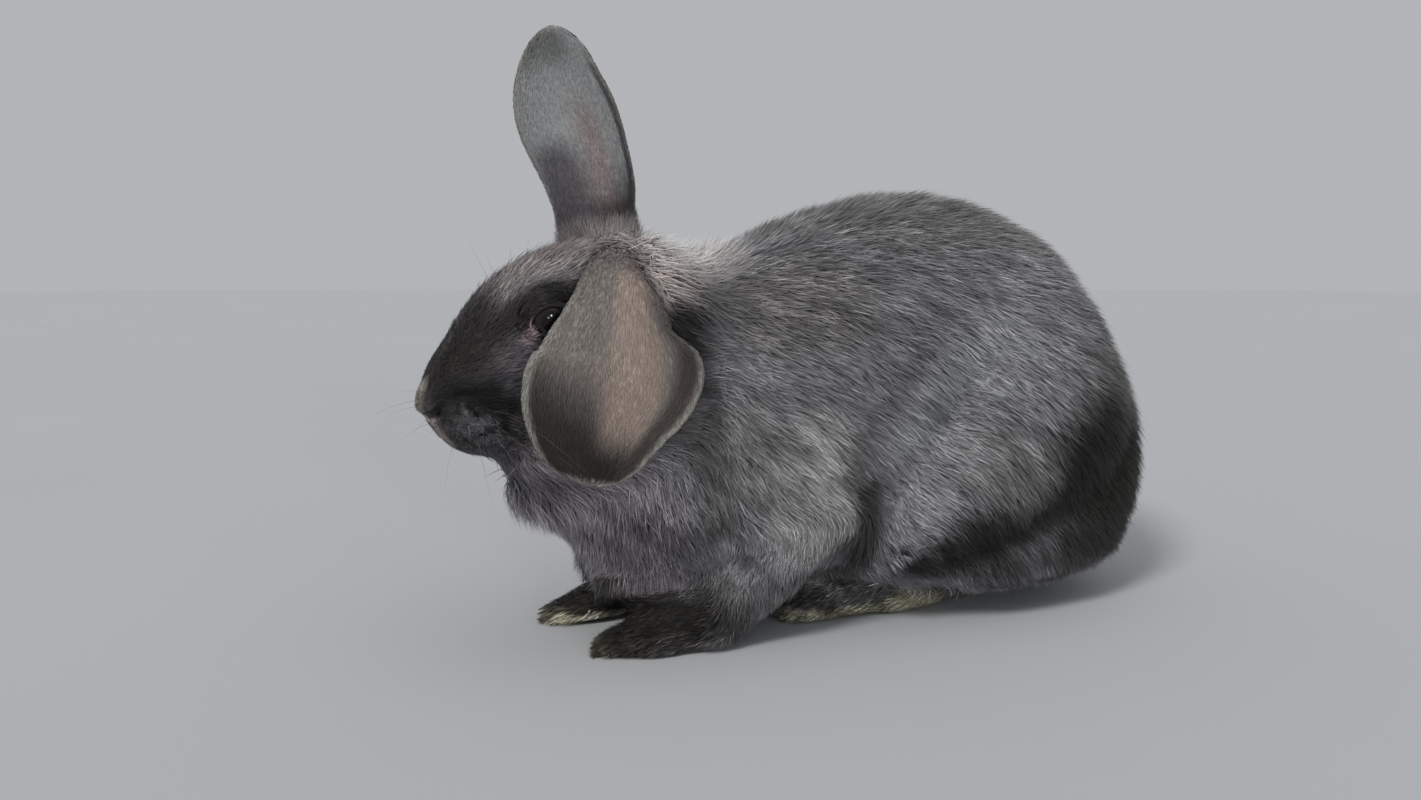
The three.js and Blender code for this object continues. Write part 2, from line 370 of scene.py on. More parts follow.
# The mound of loose skin round the roots of the ears, as balls of (centre, radius).
MOUND = [
    ((15, 12, 141), 14), ((13, 0, 142.5), 15), ((8, -12, 144), 15),
    ((5, -22, 145), 13.5), ((12, -29, 137), 12.5), ((15, -35, 127), 10.5),
]
# Lines of the feet, as (line, width, depth): the hollow over the heel, the heel, the outer edge of the wrist.
FOOT_LINES = [
    ([(100, 53, 9), (128, 56, 11)], 10, 8),
    ([(112, 33, 4), (128, 34, 5)], 6, -2.5),
    ([(2, 33, 5), (16, 37, 5), (30, 41, 6)], 7, -3.4),
]


def splay(points):
    """How far the right forefoot is drawn in towards the wrist, so that its toes point outwards."""
    x, y, z = points.T
    share = ramp(y, 6, 12) * (1 - ramp(y, 42, 60)) * (1 - ramp(z, 16, 36)) * (1 - ramp(x, 22, 44))
    return 0.38 * np.clip(x + 19, 0, 30) * share


def flattened(points):
    """The height of each point once the forefeet are pressed flat."""
    x, y, z = points.T
    flat = points * (1, 1, 0)
    share = region(flat, [line * (1, 1, 0) for line in PAW_LINES], 15, 24)
    share = share * (1 - ramp(x, -2, 28)) * (1 - ramp(z, 20, 34))
    return z * (1 - 0.34 * share)


def outer_form():
    """The flesh nodes as one surface, softened where they meet, and finer at the eyes and the nose."""
    shells = [ball(np.array(centre, float), radius) for centre, radius in MOUND]
    for name in FLESH:
        points, faces = arrays_of(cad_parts[name].data)
        points = points * 1000 - ORIGIN
        keys, index = np.unique(np.round(points, 2), axis=0, return_inverse=True)
        faces = index.ravel()[faces]
        shells.append((keys + normals(keys, faces) * CAD_SWELL, faces))
    points, faces = biggest_shell(*remeshed(*joined(shells), VOXEL))
    where = regions(points)
    fine = np.maximum.reduce([where["head"], where["paw"], where["foot"]])
    edges = edges_of(faces)
    points = relax(points, edges, 30, mix(0.55, 0.16, fine))
    points = folded(points, faces)
    points[:, 1] -= splay(points)
    points[:, 2] = flattened(points)
    points = dented(points, faces, FOOT_LINES)
    points = relax(points, edges, 2, 0.4)
    face = (to_line(points, [(-60, 0, 96), (-40, 0, 112)]) < 34) & (points[:, 0] < -14)
    points, faces = refined(points, faces, face)
    points = relax(points, edges_of(faces), 3, 0.3)
    nose = (points[:, 0] < -58) & (np.abs(points[:, 1]) < 15) & (points[:, 2] < 110)
    return refined(points, faces, (from_eyes(points) < 13) | nose)


# ---- the skin, which lies inside the outer form by the coat's depth ----
# The depth on the face by the distance from the nose, as (distance, depth).
FACE_DEPTHS = ((6, 0.7), (18, 1.4), (34, 2.6), (50, 4.2), (70, 6.0), (85, 7.5), (105, 9.5))


def coat_depth(points, faces):
    """How deep the coat is at each point of the outer form."""
    where = regions(points)
    x, y, z = points.T
    depth = mix(9.0, 11.5, ramp(x, 40, 190))
    depth = mix(depth, 8.0, 1 - ramp(z, 12, 40))
    face = np.interp(np.linalg.norm(points - NOSE_TIP, axis=1), *zip(*FACE_DEPTHS))
    depth = mix(depth, face, where["head"])
    depth = mix(depth, 1.4, 1 - ramp(from_eyes(points), 7, 15))
    depth = mix(depth, 4.8, where["arm"])
    feet = np.maximum(where["paw"], where["foot"])
    depth = mix(depth, 2.4, feet)
    facing_down = ramp(-normals(points, faces)[:, 2], 0.25, 0.8)
    depth = mix(depth, 0.5, facing_down * (1 - ramp(z, 3, 8)) * np.maximum(feet, where["arm"]))
    return mix(depth, 5.0, where["tail"])


def shrunk(points, faces, depth, steps=8):
    """The surface taken in by the depth at each point, a little at a time."""
    edges = edges_of(faces)
    for _ in range(steps):
        points = points - normals(points, faces) * (depth / steps)[:, None]
        points = relax(points, edges, 1, 0.3 * ramp(depth, 2, 8))
    return points


def dent(points, faces, line, width, depth):
    """A groove along a line, or a ridge if depth is less than 0."""
    share = np.exp(-((to_line(points, line) / width) ** 2))
    return points - normals(points, faces) * (depth * share)[:, None]


def dented(points, faces, lines):
    """Each (line, width, depth) on the left of the body, and then on the right."""
    for side in (LEFT, RIGHT):
        for line, width, depth in lines:
            points = dent(points, faces, [mirrored(p, side) for p in line], width, depth)
    return points


def eye_frame(side):
    """An eye's centre, the way it looks, and the ways to its front corner and to its top."""
    axis = mirrored(EYE_AXIS, side)
    across = unit(np.cross(axis, (-0.42, 0, 1)) * -side)
    return mirrored(EYE, side), axis, across, np.cross(axis, across) * side


def drawn_out(s):
    """How far the opening of the lids is drawn out towards its front corner."""
    return 1.2 * ramp(s, 1, 7)


def lids(points, side):
    """Brings the skin round an eye to just outside the eyeball, and within the opening to behind its surface."""
    centre, axis, across, upright = eye_frame(side)
    ray = points - centre
    reach = np.linalg.norm(ray, axis=1)
    ahead = ray @ axis
    s = EYE_RADIUS * np.arctan2(ray @ across, ahead)
    t = EYE_RADIUS * np.arctan2(ray @ upright, ahead)
    s = s - drawn_out(s) * (t > -9)
    e = np.hypot(s / LID_OPENING[0], t / LID_OPENING[1])
    inside = EYE_RADIUS - 1.8
    margin = EYE_RADIUS + LID_STANDOFF
    wanted = np.where(e < 1, mix(inside, margin, ramp(e, 0.86, 1.0)), margin)
    share = np.where(e < 1.3, 1.0, 1 - ramp(e, 1.3, 2.3)) * (ahead > 0)
    fold = 0.12 * np.exp(-(((e - 1.62) / 0.16) ** 2)) * (ahead > 0) * (reach < 14)
    new = mix(reach, wanted, share) - fold
    new = np.where((e > 1) & (ahead > 0), np.maximum(new, margin), new)
    return centre + ray / np.maximum(reach, 1e-6)[:, None] * new[:, None]


# Creases in the fur behind and below the whisker pad, as (line, width, depth).
CREASES = [
    ([(-66, 17, 101), (-58, 20.5, 101.5), (-51, 22.8, 102.5)], 1.5, 2.0),
    ([(-57, 21, 98.5), (-50, 22.6, 98)], 1.6, 2.4),
    ([(-49.5, 21.5, 93), (-48, 19.5, 86.5)], 1.7, 2.2),
    ([(-62, 18.5, 97.5), (-59, 18.8, 93.5)], 1.4, 1.6),
    ([(-58, 17.5, 86), (-54, 17.5, 88)], 1.2, 0.8),
]
# Broader lines of the face: the dip above the nose, the brow, the hollow before the eye.
FACE_LINES = [
    ([(-66, 0, 118), (-70.5, 0, 111)], 6.0, 1.2),
    ([(-43, 15, 143), (-28, 17, 147), (-14, 16, 152)], 4.0, -1.3),
    ([(-47, 18, 124), (-54, 15, 116)], 4.5, 1.0),
]
# The nose and mouth: the wing over the nostril, the nostril, the rim under it, the mouth, the lower lip.
NOSTRIL = [(-73.6, 2.8, 92.6), (-72.2, 7.8, 93.4), (-71.5, 10.8, 95.4)]
NOSE_LINES = [
    ([(-74.4, 2.6, 96.4), (-73.2, 7.0, 97.6), (-71.8, 10.4, 101)], 2.0, -1.0),
    (NOSTRIL, 1.2, 2.5),
    ([(-72.6, 5.0, 90.0), (-71.2, 11.4, 92.0), (-69.2, 14.0, 95.0)], 1.6, -0.8),
    ([(-68.5, 0, 83.6), (-66, 6, 82), (-62, 11.5, 81.3), (-55, 15, 82.3), (-49, 18, 84.5)], 1.1, 1.9),
    ([(-66.5, 3, 80.5), (-61, 9, 79)], 2.0, -0.7),
]
NOSE_PAD = ([(-75, 0, 98.5), (-74.5, 0, 94)], 5.0, -1.7)
SPLIT_LIP = ([(-75, 0, 92), (-72.4, 0, 87.5), (-69, 0, 83.5)], 0.9, 1.5)
TOE_GAPS = (-0.41, 0, 0.41)  # the places between the toes, as shares of a foot's breadth


def toe_grooves(points, faces):
    """Grooves between the toes, over the front of each foot."""
    for side, step in ((LEFT, 0), (RIGHT, PAW_STEP)):
        for gap in TOE_GAPS:
            fore = [(-19, 19.5 + gap * 12, 7), (-3, 20 + gap * 11, 15)]
            points = dent(points, faces, [mirrored(p, side) + step for p in fore], 1.8, 2.4)
            hind = [(63, 19 + gap * 12.5, 6), (80, 20 + gap * 12, 13)]
            points = dent(points, faces, [mirrored(p, side) for p in hind], 1.8, 2.2)
    return points


def featured(points, faces):
    """The creases, the nose, the toes, the split lip and the lids."""
    for feature in CREASES + FACE_LINES:
        points = dented(points, faces, [feature])
    points = dent(points, faces, *NOSE_PAD)
    points = dented(points, faces, NOSE_LINES)
    points = toe_grooves(points, faces)
    points = dent(points, faces, *SPLIT_LIP)
    for side in (LEFT, RIGHT):
        points = lids(points, side)
    return points


# ---- the ears ----
# A row is one place along the ridge of the ear's back: the place (x, y, z), half the ear's breadth laid flat,
# the degrees that each half is rolled through, and how far its rear margin flares away from the hollow.
RAISED_EAR = [
    (5, 14, 132, 18, 98, 0),
    (2, 16, 150, 21, 84, 0),
    (0, 18, 168, 22, 75, 0),
    (-3, 20, 189, 25, 60, 0),
    (-11, 22, 213, 26, 42, 0),
    (-15, 25, 239, 23, 28, 0),
]
LOPPED_EAR = [
    (9, -10, 138, 14, 88, 0),
    (0, -23, 147, 16, 76, 0),
    (-8, -36, 144, 18, 62, 0),
    (-14, -46, 131, 23, 50, 0.05),
    (-18, -51, 112, 34, 38, 0.2),
    (-26, -52, 93, 33.5, 30, 0.32),
    (-31, -50, 72, 29, 22, 0.2),
]
# How far each margin of the lopped ear lies outside (or inside) its row, as (along, share of the breadth).
LOPPED_REAR = [
    (0, 0), (0.28, 0.05), (0.34, 0.14), (0.40, 0.18), (0.46, 0.06), (0.50, -0.04), (0.54, -0.10),
    (0.59, 0.11), (0.64, 0.05), (0.685, -0.05), (0.743, -0.14), (0.813, -0.20), (0.90, -0.17),
    (0.96, -0.05), (1, 0.1),
]
LOPPED_FRONT = [
    (0.56, 0), (0.63, -0.07), (0.67, -0.11), (0.71, -0.08), (0.78, -0.02), (0.9, 0), (0.96, 0.08), (1, 0.1),
]
# Long hair covers the foot of each ear: it is whole up to the first place along the ear and ends at the second.
EAR_FLUFF = {LEFT: (0.06, 0.30), RIGHT: (0.16, 0.44)}
EAR_BLUNTNESS = {LEFT: 3.0, RIGHT: 2.4}  # a higher power gives a blunter tip
ROOT_INSET = {LEFT: 5.5, RIGHT: 2.6}  # how much narrower the skin is where the long hair covers it
# The rows of each ear, and the way that its hollow faces.
EARS = {LEFT: (LOPPED_EAR, (0.1, 1, -0.25)), RIGHT: (RAISED_EAR, (0.45, 1, 0))}


def pinna(side, along, turn, thickness, inset=0.0):
    """Points of an ear at each (along, turn): turn goes round the section, and 0 is the ridge of the back."""
    rows, hollow = EARS[side]
    rows = np.array(rows, float)
    place = curve(rows[:, :3], along)
    tangent = unit(curve(rows[:, :3], along + 0.002) - curve(rows[:, :3], along - 0.002))
    breadth, roll, flare = curve(rows[:, 3:], along).T
    roll = np.radians(roll)
    hollow = np.array(hollow, float)
    inward = unit(hollow - tangent * (tangent @ hollow)[:, None])
    rearward = np.cross(tangent, inward)
    start = 1 - np.minimum(1, along / 0.04)
    end = 1 - np.minimum(1, (1 - along) / 0.42)
    share = np.sqrt(np.maximum(0, (1 - start**2) * (1 - end ** EAR_BLUNTNESS[side])))
    across, up = np.sin(turn), np.cos(turn)
    if side == LEFT:
        rear = np.interp(along, *zip(*LOPPED_REAR)) * ramp(across, 0.1, 0.9)
        front = np.interp(along, *zip(*LOPPED_FRONT)) * ramp(-across, 0.1, 0.9)
        breadth = breadth * (1 + rear + front)
    else:
        upper = ramp(along, 0.45, 0.62) * (1 - ramp(along, 0.85, 1))
        breadth = breadth * (1 - 0.13 * ramp(-across, 0.1, 0.9) * upper)
    radius = np.maximum(breadth * share - inset, 0.2) / roll
    skin = thickness / 2 * np.sign(up) * np.abs(up) ** 0.6 * np.minimum(1, share * 3)
    lift = np.maximum(0, across) ** 3 * flare * breadth * share
    out = radius + skin
    return (
        place
        + rearward * (np.sin(across * roll) * out)[:, None]
        + inward * (radius - np.cos(across * roll) * out - lift)[:, None]
    )


def ear_grid(side, rings=120, sides=112):
    """The outer form and the skin of an ear, as (outer, skin, faces, along, turn)."""
    along = (1 - np.cos(np.linspace(0.02, np.pi - 0.02, rings))) / 2
    turn = np.linspace(0, 2 * np.pi, sides, endpoint=False)
    a, b = (g.ravel() for g in np.meshgrid(along, turn, indexing="ij"))
    outer = pinna(side, a, b, EAR_THICKNESS)
    fluff = 1 - ramp(a, *EAR_FLUFF[side])
    skin = pinna(side, a, b, EAR_SKIN, inset=EAR_HAIR + ROOT_INSET[side] * fluff)
    last_cap = fan(sides)[:, [0, 2, 1]] + (rings - 1) * sides
    faces = np.concatenate([grid_faces(rings, sides), fan(sides), last_cap])
    return outer, skin, facing_out(skin, faces, skin.mean(0)), a, b


# ---- markings: one formula for the skin and the coat ----
SLATE = (0.182, 0.179, 0.190)
HEAD_TINT = (0.064, 0.056, 0.058)
PAW_TINT = (0.0125, 0.010, 0.008)
FOOT_TINT = (0.085, 0.082, 0.082)
SOLE_TINT = (0.265, 0.250, 0.180)
TOE_TINT = (0.075, 0.066, 0.050)
LOW_TINT = (0.10, 0.098, 0.098)
NOSTRIL_TINT = (0.006, 0.005, 0.005)
WHISKER_PAD = [(-63, 18, 90), (-53, 17, 84)]
# Each patch is (line, inner, outer, tint, strength) and lies on both sides: it is whole within the inner distance of
# its line and gone at the outer one. The first ones are the broad tones of the body, and later ones lie over them.
# Some of the patches are painted shade or a painted highlight, as marked below.
PATCHES = [
    # the back, the neck and the side
    ([(110, 0, 178), (190, 0, 178)], 30, 75, (0.142, 0.137, 0.132), 0.8),
    ([(70, 40, 146), (110, 56, 128)], 12, 40, (0.160, 0.155, 0.164), 0.8),
    ([(62, 54, 50), (58, 56, 72)], 10, 28, (0.320, 0.318, 0.306), 0.8),
    ([(50, 42, 132), (70, 44, 132)], 10, 34, (0.142, 0.132, 0.130), 0.8),
    ([(124, 72, 84), (150, 68, 108)], 12, 32, (0.240, 0.243, 0.252), 0.8),
    # the rump, and the lower edge of the haunch
    # the rump's olive tone
    ([(205, 72, 70), (225, 50, 95)], 14, 48, (0.078, 0.078, 0.070), 0.85),
    # painted shadow over the rear of the haunch, which faces away from the light
    ([(190, 78, 56), (238, 50, 48)], 14, 44, (0.0112, 0.0105, 0.0066), 0.95),
    # painted shade in the fold under the thigh
    ([(124, 66, 31), (142, 72, 38), (158, 76, 45), (176, 79, 57), (192, 76, 74)], 6, 22, (0.009, 0.009, 0.008), 0.95),
    # painted shade behind the heel
    ([(106, 60, 26), (117, 62, 14)], 4, 11, (0.007, 0.007, 0.007), 0.93),
    # the lower leg, lighter than the painted shade round it
    ([(130, 66, 21), (162, 70, 21)], 3, 9, (0.042, 0.042, 0.043), 0.9),
    # painted shade on the lower rump
    ([(180, 72, 24), (215, 60, 30)], 6, 20, (0.014, 0.014, 0.012), 0.9),
    # painted shade along the floor under the haunch
    ([(118, 60, 9), (200, 62, 9)], 3, 9, (0.012, 0.012, 0.011), 0.9),
    # the haunch and the fold before it
    # painted shade in the fold before the thigh
    ([(107, 61, 114), (92, 62, 94), (81, 62, 78), (76, 62, 64)], 1, 10, (0.088, 0.085, 0.092), 0.6),
    # on the thigh
    ([(131, 75, 69), (146, 76, 62)], 10, 26, (0.150, 0.150, 0.150), 0.7),
    # painted highlight along the front of the thigh, behind the fold
    ([(100, 64, 76), (112, 66, 94), (130, 66, 110)], 4, 13, (0.225, 0.230, 0.240), 0.8),
    # painted shade in the lower end of the fold
    ([(84, 59, 56), (83, 57, 38), (82, 46, 22)], 3, 12, (0.024, 0.023, 0.023), 0.88),
    # painted shade in the gap over the hind foot
    ([(75, 32, 13), (88, 34, 20)], 4, 12, (0.020, 0.020, 0.019), 0.85),
    # the chest and the forelegs
    ([(-20, 26, 54), (-8, 20, 44)], 20, 44, (0.315, 0.282, 0.310), 0.8),
    ([(-12, 28, 36), (6, 34, 38)], 6, 20, (0.092, 0.080, 0.090), 0.8),
    ([(17, 42, 34), (27, 45, 18)], 5, 14, (0.095, 0.092, 0.095), 0.7),
    ([(30, 54, 96), (38, 54, 88)], 6, 22, (0.150, 0.147, 0.155), 0.7),
    # painted shade in the crease between the neck and the shoulder
    ([(18, 47, 90), (19, 47, 68), (22, 45, 48)], 2, 10, (0.115, 0.113, 0.110), 0.8),
    # the shoulder
    ([(36, 48, 84), (38, 50, 66)], 6, 18, (0.190, 0.190, 0.185), 0.6),
    # the face, the brow and the crown
    ([(-62, 13, 119), (-46, 13, 134)], 6, 19, (0.014, 0.011, 0.011), 0.9),
    ([(-37, 13, 147), (-24, 13, 152), (-8, 10, 157)], 4, 23, (0.320, 0.288, 0.288), 0.85),
    # painted shadow of the brow over the upper lid
    ([(-42, 26, 134), (-30, 28, 138), (-18, 29, 138)], 4, 12, (0.021, 0.017, 0.019), 0.92),
    # the crown
    ([(-28, 0, 156), (-12, 0, 160)], 6, 18, (0.190, 0.162, 0.156), 0.9),
    ([(-2, 0, 155), (2, 24, 154)], 9, 19, (0.310, 0.270, 0.260), 0.92),
    ([(14, 6, 156), (14, 26, 150), (13, 36, 140)], 8, 18, (0.480, 0.420, 0.400), 0.92),
    # the nose, the lips, the cheek and the eye
    ([(-70, 4, 110), (-64, 10, 114)], 5, 16, (0.012, 0.0095, 0.008), 0.88),
    ([(-67, 16.7, 99.5), (-59, 20.3, 99), (-51, 23, 101)], 4, 12, (0.007, 0.006, 0.007), 0.95),
    ([(-64, 18, 91), (-55, 17, 84)], 4, 11, (0.078, 0.077, 0.082), 0.85),
    ([(-76, 0, 103), (-76.5, 0, 94)], 3.2, 7.4, (0.270, 0.252, 0.226), 0.9),
    ([(-72.5, 3, 90.5), (-70, 5.5, 87), (-67, 5.5, 82.5)], 2.8, 5.4, (0.400, 0.325, 0.315), 0.88),
    ([(-38, 28, 110), (-28, 32, 100)], 6, 18, (0.112, 0.104, 0.117), 0.85),
    ([(-40.0, 26.1, 124.3), (-40.9, 25.9, 121.9)], 1.8, 3.9, (0.42, 0.30, 0.315), 0.95),
    # painted shade in the crease over the upper lid
    ([(-40, 26, 131.0), (-34, 28.5, 134.5), (-27, 30, 134.5)], 0.8, 3.2, (0.004, 0.004, 0.004), 0.9),
    # the painted shadow behind the ear, then the throat, the nape and the tail
    ([(14, 42, 124), (15, 46, 104)], 4, 12, (0.013, 0.012, 0.012), 0.94),
    ([(-46, 0, 70), (-30, 10, 64)], 8, 22, (0.130, 0.115, 0.128), 0.8),
    ([(20, 19, 148), (34, 10, 152)], 5, 27, (0.740, 0.700, 0.680), 0.92),
    ([(262, 0, 55), (262, 0, 85)], 10, 26, (0.078, 0.076, 0.077), 0.7),
]


def sole_share(points, where):
    """Where the tan fur of the soles shows: low on the inner side of a forepaw, and up over the heel behind."""
    x, y, z = points.T
    middle = np.where(y > 0, 26 - 0.25 * np.clip(x + 17, 0, 16), 18 + 0.2 * (x + 12))
    inner_side = 1 - ramp(np.abs(y) - middle, -7, -1)
    paw_top = mix(-2.5, 3.8, inner_side) + 0.8 * noise(points, 5, 61)
    foot_top = mix(4.6, 11.0, ramp(x, 100, 113)) * (1 - ramp(x, 128, 138)) + 1.2 * noise(points, 6, 62)
    on_paw = (1 - ramp(z, paw_top, paw_top + 1.5)) * where["paw"]
    return on_paw + (1 - ramp(z, foot_top, foot_top + 2)) * where["foot"]


def markings(points):
    """The colour of the hair at each point: the patches, some of them painted shade and highlights, then the fine
    mottling with painted shade in the creases of the muzzle, and the feet last.
    """
    where = regions(points)
    x, y, z = points.T
    colour = tinted(SLATE, HEAD_TINT, where["head"])
    for line, inner, outer, tint, strength in PATCHES:
        colour = tinted(colour, tint, near_both(points, line, inner, outer) * strength)
    furrow = np.min([to_line(points, side) for line, _, _ in CREASES for side in both(line)], axis=0)
    # Fine mottling on the head, and painted shade in the creases of the muzzle.
    mottling_and_crease_shade = 1 + where["head"] * (0.22 * noise(points, 3.2, 83) - 0.88 * np.exp(-((furrow / 1.9) ** 2)))
    flecks = 0.9 * noise(points, 1.7, 87) + 0.7 * noise(points, 3.4, 88)
    flecks = np.maximum(0.15, 1 + near_both(points, WHISKER_PAD, 6, 13) * flecks)
    colour = colour * (mottling_and_crease_shade * flecks)[:, None]
    sole = sole_share(points, where)
    for tint, share in (
        (PAW_TINT, region(points, PAW_LINES, 13, 33) * (1 - ramp(z, 16, 34))),
        (FOOT_TINT, where["foot"]),
        (NOSTRIL_TINT, near_both(points, NOSTRIL, 1.0, 2.1)),
        (SOLE_TINT, sole),
        (TOE_TINT, 0.7 * where["paw"] * (1 - ramp(x, -20, -12)) * (1 - ramp(z, 4, 8)) * (1 - sole)),
        (LOW_TINT, 0.6 * (1 - ramp(z, 10, 34)) * (1 - ramp(x, 40, 75)) * (where["paw"] < 0.2)),
    ):
        colour = tinted(colour, tint, share)
    return colour * (1 + 0.13 * noise(points, 22) + 0.11 * noise(points, 7, 5))[:, None]


# ---- the lie of the coat ----
def from_nose(points):
    """The way the hair of the face points: back from a place just inside the nose."""
    return unit(points - NOSE_TIP + (9, 0, 1))


def lie(points, normal):
    """The way the hair points at each place, in the plane of the skin."""
    where = regions(points)
    x, y, z = points.T
    side = np.sign(y) * np.minimum(1, np.abs(y) / 8)

    def heading(back, outwards, up):
        """A direction for each point: towards the tail, away from the middle, and up."""
        return np.stack(np.broadcast_arrays(back, outwards * side, up), 1)

    flow = heading(1.0, 0.25, -0.9 * np.abs(normal[:, 1]))
    hip = np.minimum(1, sum(near(points, line, 30, 62) for line in both([(165, 66, 40), (178, 66, 75)])))
    for way, share in (
        (heading(0.25, 0.1, -1.0), (1 - ramp(x, 0, 50)) * (1 - ramp(z, 90, 130))),
        (heading(0.6, 0.1, -1.1), hip),
        (heading(1.0, 0.1, -0.3), 1 - ramp(z, 8, 34)),
        (heading(-0.3, 0, -1.0), where["arm"]),
        (heading(-1, 0, -0.25), np.maximum(where["paw"], where["foot"])),
        (from_nose(points), where["head"]),
        (heading(0.8, 0.2, -0.7), near_both(points, [(6, 24, 150), (14, 38, 132)], 10, 22)),
        (unit(heading(0.35, 0.3, -1.0)), where["tail"]),
    ):
        flow = mix(flow, way, share[:, None])
    return unit(in_plane(flow, normal))


def turned(vector, axis, angle):
    """A vector turned about an axis at right angles to it."""
    return vector * np.cos(angle)[:, None] + np.cross(axis, vector) * np.sin(angle)[:, None]


# ---- materials ----
class Nodes:
    """A short way to write a node material."""

    def __init__(self, name, roughness, **sockets):
        self.material = bpy.data.materials.new(name)
        self.material.use_nodes = True
        self.tree = self.material.node_tree
        self.shader = self.tree.nodes["Principled BSDF"]
        self.shader.inputs["Roughness"].default_value = roughness
        for socket, value in sockets.items():
            self.shader.inputs[socket.replace("_", " ")].default_value = value

    def add(self, kind, inputs=None, **settings):
        node = self.tree.nodes.new(kind)
        for key, value in settings.items():
            setattr(node, key, value)
        for socket, value in (inputs or {}).items():
            if isinstance(value, bpy.types.NodeSocket):
                self.tree.links.new(value, node.inputs[socket])
            else:
                node.inputs[socket].default_value = value
        return node

    def to(self, socket, value):
        self.tree.links.new(value, self.shader.inputs[socket])

    def attribute(self, name, output="Color"):
        return self.add("ShaderNodeAttribute", attribute_name=name).outputs[output]

    def noise(self, scale, detail=2.0, vector=None):
        if vector is None:
            vector = self.add("ShaderNodeTexCoord").outputs["Object"]
        return self.add("ShaderNodeTexNoise", {"Vector": vector, "Scale": scale, "Detail": detail}).outputs["Fac"]

    def ranged(self, value, low, high):
        return self.add("ShaderNodeMapRange", {"Value": value, "To Min": low, "To Max": high}).outputs["Result"]

    def times(self, colour, value):
        """A colour times a number."""
        return self.add("ShaderNodeVectorMath", {0: colour, 1: value}, operation="MULTIPLY").outputs["Vector"]

    def bump(self, height, distance, strength):
        inputs = {"Height": height, "Distance": distance, "Strength": strength}
        return self.add("ShaderNodeBump", inputs).outputs["Normal"]


def coat_material():
    n = Nodes("tufted_coat", 0.62, Sheen_Weight=0.09, Sheen_Roughness=0.45, Specular_IOR_Level=0.20)
    fine = n.ranged(n.noise(900, 2), 0.78, 1.22)
    broad = n.ranged(n.noise(70, 3), 0.86, 1.14)
    n.to("Base Color", n.times(n.times(n.attribute("marking"), fine), broad))
    n.to("Roughness", n.ranged(n.noise(400, 2), 0.5, 0.74))
    return n.material


def skin_material():
    n = Nodes("furred_skin", 0.7, Sheen_Weight=0.06, Sheen_Roughness=0.5, Specular_IOR_Level=0.16)
    grain = n.noise(1.0, 3, n.attribute("grain", "Vector"))
    fine = n.ranged(grain, 0.7, 1.3)
    broad = n.ranged(n.noise(60, 3), 0.88, 1.12)
    n.to("Base Color", n.times(n.times(n.attribute("marking"), fine), broad))
    n.to("Roughness", n.ranged(n.noise(300, 2), 0.55, 0.8))
    n.to("Normal", n.bump(grain, 0.0006, 0.8))
    return n.material


def eye_material():
    n = Nodes("eye", 0.06, Specular_IOR_Level=0.24)
    streaks = n.ranged(n.noise(1.0, 3, n.attribute("grain", "Vector")), 0.55, 1.45)
    n.to("Base Color", n.times(n.attribute("marking"), streaks))
    n.to("Roughness", n.ranged(n.noise(500, 2), 0.04, 0.09))
    return n.material


def claw_material():
    n = Nodes("claw", 0.35, Specular_IOR_Level=0.5)
    along = n.ranged(n.noise(1.0, 3, n.attribute("grain", "Vector")), 0.75, 1.25)
    n.to("Base Color", n.times(n.attribute("marking"), along))
    n.to("Roughness", n.ranged(n.noise(600, 2), 0.25, 0.5))
    n.to("Normal", n.bump(along, 0.0001, 0.5))
    return n.material


def whisker_material():
    n = Nodes("whisker", 0.4, Specular_IOR_Level=0.5)
    n.to("Base Color", n.times(n.attribute("marking"), n.ranged(n.noise(300, 2), 0.8, 1.2)))
    return n.material


def floor_material():
    n = Nodes("floor", 0.85, Specular_IOR_Level=0.2)
    shade = n.ranged(n.noise(3, 4), 0.97, 1.03)
    n.to("Base Color", n.times(n.attribute("marking"), shade))
    n.to("Roughness", n.ranged(n.noise(9, 3), 0.8, 0.92))
    return n.material


def paint(obj, name, values):
    """Gives each vertex its colour or vector, or all of them the same one, for the material to read."""
    values = np.broadcast_to(np.asarray(values, np.float32), (len(obj.data.vertices), 3))
    if name == "marking":
        attribute = obj.data.attributes.new(name, "FLOAT_COLOR", "POINT")
        values = np.column_stack([np.clip(values, 0, 1), np.ones(len(values))])
        attribute.data.foreach_set("color", values.astype(np.float32).ravel())
    else:
        attribute = obj.data.attributes.new(name, "FLOAT_VECTOR", "POINT")
        attribute.data.foreach_set("vector", values.ravel())


# ---- the skin: body and ears in one mesh ----
def lopped_back(along, across, points):
    """The back of the lopped ear: grey-brown with a bare pinkish band along it, darkened towards its end and along its
    rear margin as painted shade where it turns down and away from the light.
    """
    # darker towards the end: painted shade where the ear turns under
    colour = tinted((0.165, 0.145, 0.132), (0.022, 0.018, 0.016), ramp(along - 0.10 * across, 0.70, 0.92))
    middle = np.interp(along, [0.2, 0.5, 0.65, 0.85], [0.02, 0.12, 0.14, 0.30])
    length = ramp(along, 0.22, 0.40) * (1 - ramp(along, 0.80, 0.93))
    band = np.exp(-(((across - middle) / 0.33) ** 4)) * length * (1 + 0.12 * noise(points, 12, 71))
    colour = tinted(colour, (0.318, 0.246, 0.208), np.clip(band * 0.9, 0, 1))
    # painted shade along the rear margin, which turns away from the light
    rear = ramp(across, 0.52, 0.72) * ramp(along, 0.45, 0.6)
    return tinted(colour, (0.042, 0.034, 0.030), 0.90 * rear)


